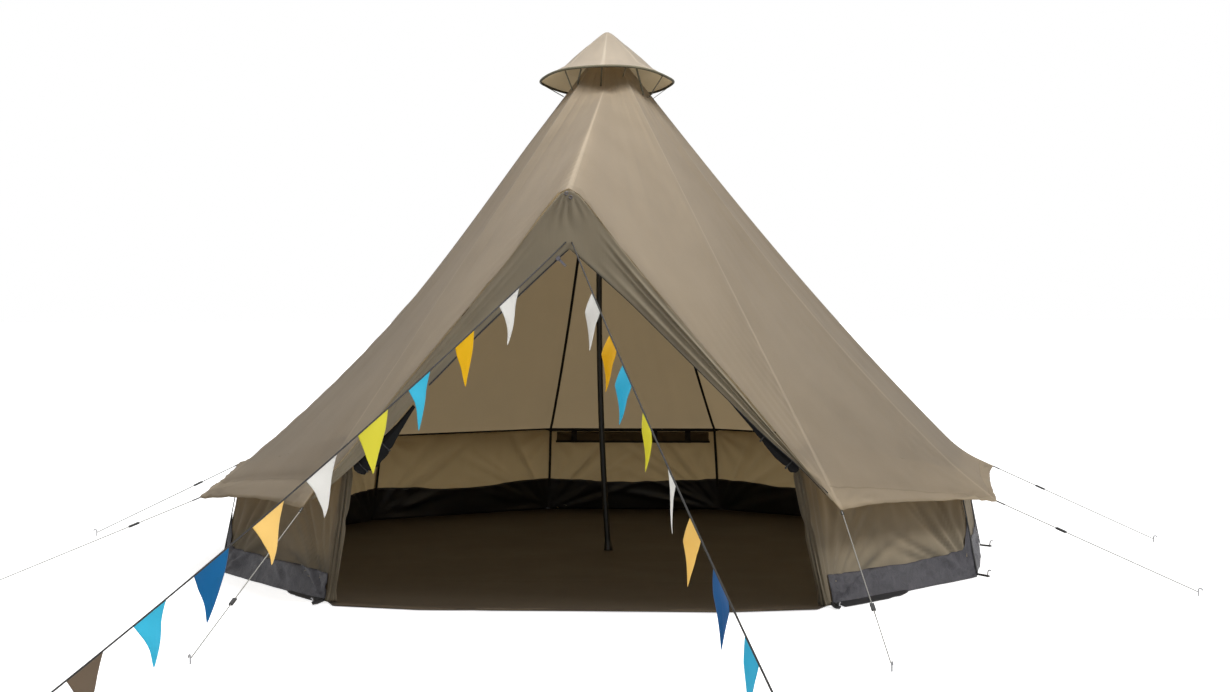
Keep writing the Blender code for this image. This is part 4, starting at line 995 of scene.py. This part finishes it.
def mesh_place(side):
    """The place of a rolled mesh: a lumpy tube along its axis, drawn in at its ties."""
    aside, high, thick = np.array(MESH_AXES[side]).T

    def place(u, v):
        turn = u * math.tau
        knots = np.linspace(0.0, 1.0, len(thick))
        middle = np.stack((np.interp(v, knots, aside), 0.0 * v + MESH_PLANE, np.interp(v, knots, high)), 1)
        across = np.array((0.70 * side, 0.0, 0.714))
        swell = np.interp(v, knots, thick) * np.clip((1.0 - v) / 0.06, 0.1, 1.0) ** 0.5 * 1.05
        for tie in MESH_TIES:
            swell = swell * (1.0 - 0.22 * close_to(v, tie, 0.03))
        reach = swell * (1.0 + 0.09 * np.cos(5.0 * turn + 3.0 * v) + 0.11 * wandering(u * 16.0, v * 6.0, 71))
        round_it = across * (np.cos(turn) * reach)[:, None]
        return middle + round_it + np.array((0.0, 1.0, 0.0)) * (np.sin(turn) * reach * 0.7)[:, None]
    return place


def netting(name, colour, dark, light, shine):
    """Knitted polyester net, matt. Its holes are 1 mm; they are drawn at 3 mm."""
    made, tree, shader, place = start_material(name, colour, 0.85)
    grid = {"Vector": place, "Scale": 330.0, "Color1": paint(dark), "Color2": paint(light)}
    join(shader, {"Base Color": add_node(tree, "TexChecker", grid), "Specular IOR Level": shine})
    return made


# Insect mesh, black and rolled up so tightly that it hardly shines.
insect_mesh = netting("polyester_insect_mesh", "#070707", "#050505", "#0e0e0f", 0.2)
# Toggles and loops: black acetal pegs on elastic.
acetal = start_material("black_acetal", "#101010", 0.6)[0]
for side_name, side in SIDES.items():
    roll = lay_cloth("insect_mesh_" + side_name, 60, 48, mesh_place(side))
    finish_cloth(roll, THIN_CLOTH, insect_mesh, weld=True)
    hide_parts("mesh_roll_" + side_name)
    knots = np.linspace(0.0, 1.0, len(MESH_AXES[side]))
    for number, share in enumerate(MESH_TIES):
        spot = [np.interp(share, knots, values) for values in np.array(MESH_AXES[side]).T]
        middle, wide = np.array((spot[0], MESH_PLANE, spot[1])), spot[2] * 0.86
        ring = []
        for step in range(25):
            turn = math.tau * step / 24.0
            off = np.array((math.cos(turn) * 0.70 * side, math.sin(turn) * 0.74, math.cos(turn) * 0.714))
            ring.append(middle + off * wide)
        lay_line(f"toggle_elastic_{side_name}_{number + 1}", ring, ELASTIC_RADIUS, acetal, 2)
        bpy.ops.object.select_all(action="DESELECT")
        seat = middle + np.array((-wide * side * 0.55, -0.006, -wide * 0.58))
        bpy.ops.mesh.primitive_cylinder_add(vertices=16, radius=TOGGLE_RADIUS, depth=TOGGLE_LENGTH,
                                            location=seat, rotation=(0.0, math.radians(38.0 * side), 0.3))
        toggle = bpy.context.object
        toggle.name = f"toggle_{side_name}_{number + 1}"
        bpy.ops.object.mode_set(mode="EDIT")
        bpy.ops.mesh.select_all(action="SELECT")
        bpy.ops.mesh.bevel(offset=0.0016, segments=3)
        bpy.ops.object.mode_set(mode="OBJECT")
        bpy.ops.object.transform_apply()
        toggle.data.materials.append(acetal)
        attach(toggle, "tent")


# Vent cap
# A round cap of roof cloth on the pole's point, over the gap at the roof's top. Eight gores meet in a
# blunt tip, a stiff binding holds its rim open, and paired webbing straps tie it down to the roof.
CAP_TOP = np.array((0.0, 0.0, 2.535))
CAP_TILT = Matrix.Rotation(math.radians(-6.0), 3, "X")
CAP_TIP_RADIUS = 0.004
CAP_REACH = 0.324
CAP_DEPTH = 0.243
CAP_BLUNT = 0.05
CAP_THICKNESS = 0.0024
CAP_GORES = 8
CAP_GORE_WIDTH = 0.25
CAP_PROFILE = np.array(((0.0, 0.0), (0.30, 0.30), (0.50, 0.53), (0.68, 0.76), (0.85, 0.89), (1.0, 1.0)))


def rim_wave(turn):
    """How far the cap's rim stands above its plane at a turn from the front: up between its straps."""
    return 0.016 * close_to(np.degrees(turn), 4.0, 30.0) - 0.005 * np.cos(turn * 5.0)


def cap_at(turn, share):
    """A point of the cap's outer face at a turn from the front and a share from the tip to the rim."""
    turn = (turn + np.pi) % math.tau - np.pi
    down = np.interp(share, CAP_PROFILE[:, 0], CAP_PROFILE[:, 1])
    radius = CAP_TIP_RADIUS + CAP_REACH * share
    blunt = np.sqrt(share ** 2 + CAP_BLUNT ** 2) - CAP_BLUNT
    down = np.where(share < 0.25, blunt / (math.hypot(0.25, CAP_BLUNT) - CAP_BLUNT) * 0.25, down)
    below = 0.004 + CAP_DEPTH * down - rim_wave(turn) * share ** 3
    below += 0.0025 * (1.0 - np.cos(turn * CAP_GORES)) * np.sin(np.pi * share)
    below += 0.0022 * wandering(turn * 5.0 + 20.0, share * 3.0 + 2.0, 81) * np.sin(np.pi * share)
    local = np.stack((np.sin(turn) * radius, -np.cos(turn) * radius, -below), 1)
    return local @ np.array(CAP_TILT).T + CAP_TOP


cap_cloth = coated_polycotton("coated_polycotton_cap", "#ada395", "#a09688", 0.35, "#e2d8c6", CAP_GORE_WIDTH)
cap_lining = coated_polycotton("coated_polycotton_cap_inside", "#c2b08b", "#b3a27f", 0.5, "#f2e6cc")
cap = lay_cloth("vent_cap_cloth", 160, 40, lambda u, v: cap_at(u * math.tau, v),
                seam_chart(CAP_GORES, CAP_GORE_WIDTH, 0.4))
finish_cloth(cap, CAP_THICKNESS, cap_cloth, cap_lining, weld=True)
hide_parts("vent_cap")


# Cap binding and straps
# Olive woven tape folded over a plastic hoop along the cap's rim, and flat webbing straps in pairs that
# run from it to the roof, where each pair shares a buckle loop.

# The webbing's ribs are 1 mm apart; they are drawn at 2.5 mm.
webbing = woven_tape("woven_polyester_webbing", "#5a5643", 0.75, 126.0, "DIAGONAL", 0.5, 0.0006,
                     worn=("#4b4837", "#66614c"))
HOOP_WIDTH_RADIUS = 0.0055
HOOP_HEIGHT_RADIUS = 0.0062
WEBBING_THICKNESS = 0.0016


def binding_place(u, v):
    """A tube of tape round the hoop in the cap's rim."""
    turn, around_hoop = u * math.tau, v * math.tau
    edge = cap_at(turn, np.full_like(u, 0.985))
    level = unit((edge - CAP_TOP) * (1.0, 1.0, 0.0))
    spots = edge + level * (HOOP_WIDTH_RADIUS * np.cos(around_hoop))[:, None]
    spots[:, 2] += HOOP_HEIGHT_RADIUS * np.sin(around_hoop) - 0.004
    return spots


binding = lay_cloth("cap_rim_binding", 160, 12, binding_place)
finish_cloth(binding, 0.0, webbing, weld=True, flip=True)
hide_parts("cap_binding")


def lay_strap(name, start, end, width, finish):
    """A flat webbing strap between two points, broad side out from the tent's middle."""
    start, end = np.array(start, dtype=float), np.array(end, dtype=float)
    run = unit(end - start)
    away = (start + end) / 2.0 * (1.0, 1.0, 0.0)
    across = np.cross(run, unit(away - run * away.dot(run)))
    strap = lay_cloth(name, 3, 10, lambda u, v: start + (end - start) * v[:, None]
                      + across * (width * (u - 0.5))[:, None])
    finish_cloth(strap, WEBBING_THICKNESS, finish)


def on_roof(azimuth, radius):
    """The roof's point nearest to a turn from the front, in degrees, and a distance from the pole."""
    places = np.meshgrid(np.arange(ROOF_PANELS), np.linspace(0.0, 1.0, 9), np.linspace(0.0, 0.2, 80))
    spots = roof_base(*[part.ravel() for part in places])
    turn = math.radians(azimuth)
    aim = np.array((math.sin(turn) * radius, -math.cos(turn) * radius))
    return spots[np.argmin(np.linalg.norm(spots[:, :2] - aim, axis=1))]


CAP_STRAPS = (
    (-34.0, -44.0, 0.225, 0.011), (-18.0, -36.0, 0.225, 0.011), (30.0, 54.0, 0.225, 0.011),
    (60.0, 62.0, 0.225, 0.011), (-98.0, -99.0, 0.216, 0.009), (0.0, -3.0, 0.205, 0.007),
    (20.0, 26.0, 0.205, 0.007), (112.0, 104.0, 0.222, 0.005), (-140.0, -150.0, 0.235, 0.011),
    (-158.0, -154.0, 0.235, 0.011), (140.0, 150.0, 0.235, 0.011), (162.0, 156.0, 0.235, 0.011),
)
for azimuth, seat_azimuth, seat_radius, width in CAP_STRAPS:
    high = cap_at(np.array((math.radians(azimuth),)), np.array((0.975,)))[0] - (0.0, 0.0, 0.010)
    seat = on_roof(seat_azimuth, seat_radius)
    seat = seat + np.array((seat[0], seat[1], 0.0)) * 0.02
    lay_strap(f"cap_strap_{int(azimuth) % 360}", high, seat, width, webbing)


# Crown patch, pole and its fittings
# A stiff reinforced patch closes the roof's top round the pole's spike. The pole is three lengths of
# 28 mm steel tube that plug together, powder-coated black, in a moulded foot on the groundsheet.
def grained(name, colour, roughness, scale, strength, depth):
    """A hard finish with the relief of a fine grain, returned as start_material does."""
    made, tree, shader, place = start_material(name, colour, roughness)
    grain = add_node(tree, "TexNoise", {"Vector": place, "Scale": scale, "Detail": 2.0})
    relief = add_node(tree, "Bump", {"Height": grain, "Strength": strength, "Distance": depth})
    join(shader, {"Normal": relief})
    return made, tree, shader, place


def dulled_metal(name, colour, roughness, scale, detail, polished, worn):
    """Plated metal whose shine is uneven where it is worn."""
    made, tree, shader, place = start_material(name, colour, roughness, 1.0)
    wear = add_node(tree, "TexNoise", {"Vector": place, "Scale": scale, "Detail": detail})
    join(shader, {"Roughness": add_node(tree, "MapRange", {0: wear, 3: polished, 4: worn})})
    return made


# Powder coat on steel: satin black with an orange-peel texture and a few rubbed places.
powder_coat, tree, shader, place = grained("powder_coated_steel", "#0d0e0e", 0.5, 320.0, 0.15, 0.0004)
rub = add_node(tree, "TexNoise", {"Vector": place, "Scale": 18.0, "Detail": 6.0, "Roughness": 0.7})
bare = add_node(tree, "MapRange", {0: rub, 1: 0.66, 2: 0.74})
tint = add_node(tree, "Mix", {0: bare, 6: paint("#0d0e0e"), 7: paint("#2a2b2b")}, 2, data_type="RGBA")
join(shader, {"Base Color": tint})
# Moulded nylon: black, softly shiny, with a fine spark-eroded grain.
moulded_nylon = grained("moulded_nylon", "#171717", 0.45, 900.0, 0.2, 0.0002)[0]
# Zinc-plated steel wire of the pegs: grey, slightly dull.
plated_steel = dulled_metal("zinc_plated_steel", "#8d8d8f", 0.38, 60.0, 5.0, 0.3, 0.55)
# Die-cast zinc of the zip's slider, nickel plated and worn dull.
die_cast = dulled_metal("die_cast_zinc", "#5f5d63", 0.5, 260.0, 4.0, 0.4, 0.62)

CAD_FINISHES = (
    ("pole_section_", powder_coat),
    ("pole_foot", moulded_nylon),
    ("pole_top_spike", moulded_nylon),
    ("guy_runner_", moulded_nylon),
    ("guy_peg_", plated_steel),
    ("pennant_peg_", plated_steel),
    ("zip_", die_cast),
    ("crown_patch", webbing),
)
for name, node in nodes.items():
    for start, finish in CAD_FINISHES:
        if name.startswith(start):
            for index in range(len(node.material_slots)):
                node.material_slots[index].material = finish


# Inner seam tapes
# Black woven tape is sewn inside along every ridge and along the joint of roof and walls, where the
# cloth's raw edges are.

# The tape's ribs are 1 mm apart; they are drawn at 2.5 mm.
inner_tape = woven_tape("woven_black_seam_tape", "#131211", 0.8, 126.0, "Z", 0.4, 0.0005)
RIDGE_TAPE_WIDTH = 0.014
RIDGE_SHARE = 0.83


def ridge_tape_place(rail):
    def place(u, v):
        """The tape lies about a centimetre inside a ridge, and goes on down the wall's corner."""
        upper = np.clip(v / (RIDGE_SHARE if 1 < rail < 10 else 1.0), 0.0, 1.0) * 0.497
        index = np.full(len(u), rail)
        spots = on_rail(index, upper + 0.002)
        drop = np.clip((v - RIDGE_SHARE) / (1.0 - RIDGE_SHARE), 0.0, 1.0) * (1 < rail < 10)
        low = spots + (feet[rail - 1] * (0.998, 0.998, 1.0) - spots) * (drop * 0.70)[:, None]
        level = unit(feet[rail - 1])
        across = np.array((-level[1], level[0], 0.0))
        inward = 0.0075 + 0.004 * np.clip(v * 1.2, 0.0, 1.0)
        spots = low - level * inward[:, None] - (0.0, 0.0, 0.006)
        return spots + across * (RIDGE_TAPE_WIDTH * (u - 0.5))[:, None]
    return place


for rail in range(1, 11):
    tape = lay_cloth(f"ridge_tape_{rail}", 4, 120, ridge_tape_place(rail))
    finish_cloth(tape, THIN_CLOTH, inner_tape)


REAR_PANEL = 4


def joint_tape_place(u, v):
    """The tape inside the joint of roof and walls, deeper over the rear vent."""
    panel, local = panel_of(u, WALL_PANELS)
    spots, level = wall_base(panel, local, np.full_like(u, 1.0), 0.0042 + np.zeros_like(u))
    spots[:, 2] += 0.003 - (0.009 + 0.009 * (panel == REAR_PANEL)) * v
    return spots - level * 0.004


joint_tape = lay_cloth("joint_tape", WALL_PANELS * 30, 3, joint_tape_place)
finish_cloth(joint_tape, 0.001, inner_tape)


# Rear vent
# A long low window of dark mesh under the roof's joint in the rear wall, bound with black tape below and
# crossed by three short posts of it.
VENT_TOP = 0.462
VENT_HEIGHT = 0.058
VENT_INSIDE = 0.0052
POST_INSIDE = 0.0075


def vent_place(u, v):
    """The mesh inside the rear wall, just under the roof's joint."""
    local = 0.04 + 0.92 * u
    height = VENT_TOP - VENT_HEIGHT * v + 0.004 * np.sin(u * 9.0) * v
    return on_wall(np.full(len(u), REAR_PANEL), local, height, VENT_INSIDE)


# Vent mesh: some of the daylight behind it comes through, so it looks brown from within.
vent_mesh = netting("knitted_vent_mesh", "#4a3f2e", "#3d3426", "#574a36", 0.5)
vent = lay_cloth("rear_vent_mesh", 60, 8, vent_place)
finish_cloth(vent, TAPE_THICKNESS, vent_mesh)
for number, (middle, width) in enumerate(((0.165, 0.034), (0.36, 0.020), (0.855, 0.034), (0.50, 0.93))):
    def post_place(u, v):
        """A post is an upright strip over the mesh, and the binding a long one along its foot."""
        local = middle + (u - 0.5) * width
        height = 0.468 - 0.070 * v if width < 0.1 else 0.411 - 0.012 * v
        return on_wall(np.full(len(u), REAR_PANEL), local, height, POST_INSIDE)

    name = f"rear_vent_post_{number + 1}" if width < 0.1 else "rear_vent_binding"
    post = lay_cloth(name, 60, 8, post_place)
    finish_cloth(post, 0.001, inner_tape)


# Corner tapes, peg loops and eyelets
# Black webbing is sewn down each wall corner, and its loops stick out over the pegs. Short loops also
# hold the guy lines at the eave, and two dull metal eyelets close the hood's apex.
PEG_WIRE_RADIUS = 0.0028
EYELET_RADIUS = 0.0058
EYELET_EDGE = 0.0017
EYELET_SPOTS = ((-0.009, 1.655), (0.008, 1.640))


def lay_loop(name, start, reach, width, radius):
    """A flat loop of cord that leaves a point, goes out by reach and comes back."""
    across = unit(np.cross(reach, (0.0, 0.0, 1.0))) * width / 2.0
    turns = np.linspace(0.0, math.pi, 9)
    bend = [start + reach * (0.8 + 0.2 * math.sin(t)) + across * math.cos(t) for t in turns]
    lay_line(name, [start + across * 0.6] + bend + [start - across * 0.6], radius, inner_tape, 2)


def lay_peg(name, spot, lean):
    """A steel peg's head above the ground: a straight shank with its end bent over."""
    up = np.array((0.0, 0.0, 1.0))
    points = [spot + up * 0.002, spot + lean * 0.004 + up * 0.024]
    for turn in np.linspace(0.0, math.pi * 0.8, 7):
        points.append(spot + lean * (0.012 - 0.008 * math.cos(turn)) + up * (0.026 + 0.008 * math.sin(turn)))
    lay_line(name, points, PEG_WIRE_RADIUS, plated_steel, 2)


CORNER_NAMES = ("front", "side_front", "side_middle", "side_rear", "rear")
for index in range(10):
    title = CORNER_NAMES[min(index, 9 - index)] + ("_right" if index < 5 else "_left")
    foot, away = feet[index], unit(feet[index])
    if index in (0, 9):
        away = unit(np.array((away[0] * 0.35, -1.0, 0.0)))
        lay_loop("peg_loop_" + title, foot + (0.0, -0.03, 0.011), away * 0.10, 0.018, 0.0064)
        lay_peg("wall_peg_" + title, foot + away * 0.125, away)
        continue
    top = foot + (tops[index] - foot) * 0.80
    sewn = foot + away * 0.006
    lay_strap("corner_tape_" + title, top + away * 0.0035, sewn + (0.0, 0.0, 0.012), 0.013, inner_tape)
    lay_loop("peg_loop_" + title, sewn + (0.0, 0.0, 0.013), away * 0.055 - (0.0, 0.0, 0.006), 0.011, 0.0042)
    lay_peg("wall_peg_" + title, foot + away * 0.052, away)

for side_name, side in SIDES.items():
    for corner, ends in GUY_ROUTES.items():
        first, last = (np.array((side * x, y, z)) for x, y, z in ends)
        run = unit(last - first)
        lay_loop(f"guy_loop_{corner}_{side_name}", first - run * 0.006, run * 0.040, 0.007, 0.0024)

for number, (x, z) in enumerate(EYELET_SPOTS):
    bpy.ops.object.select_all(action="DESELECT")
    bpy.ops.mesh.primitive_torus_add(major_radius=EYELET_RADIUS, minor_radius=EYELET_EDGE, major_segments=28,
                                     location=(x, -2.0525, z), rotation=(math.radians(90.0), 0.0, 0.0))
    eyelet = bpy.context.object
    eyelet.name = f"hood_eyelet_{number + 1}"
    bpy.ops.object.transform_apply()
    eyelet.data.shade_smooth()
    eyelet.data.materials.append(die_cast)
    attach(eyelet, "tent")
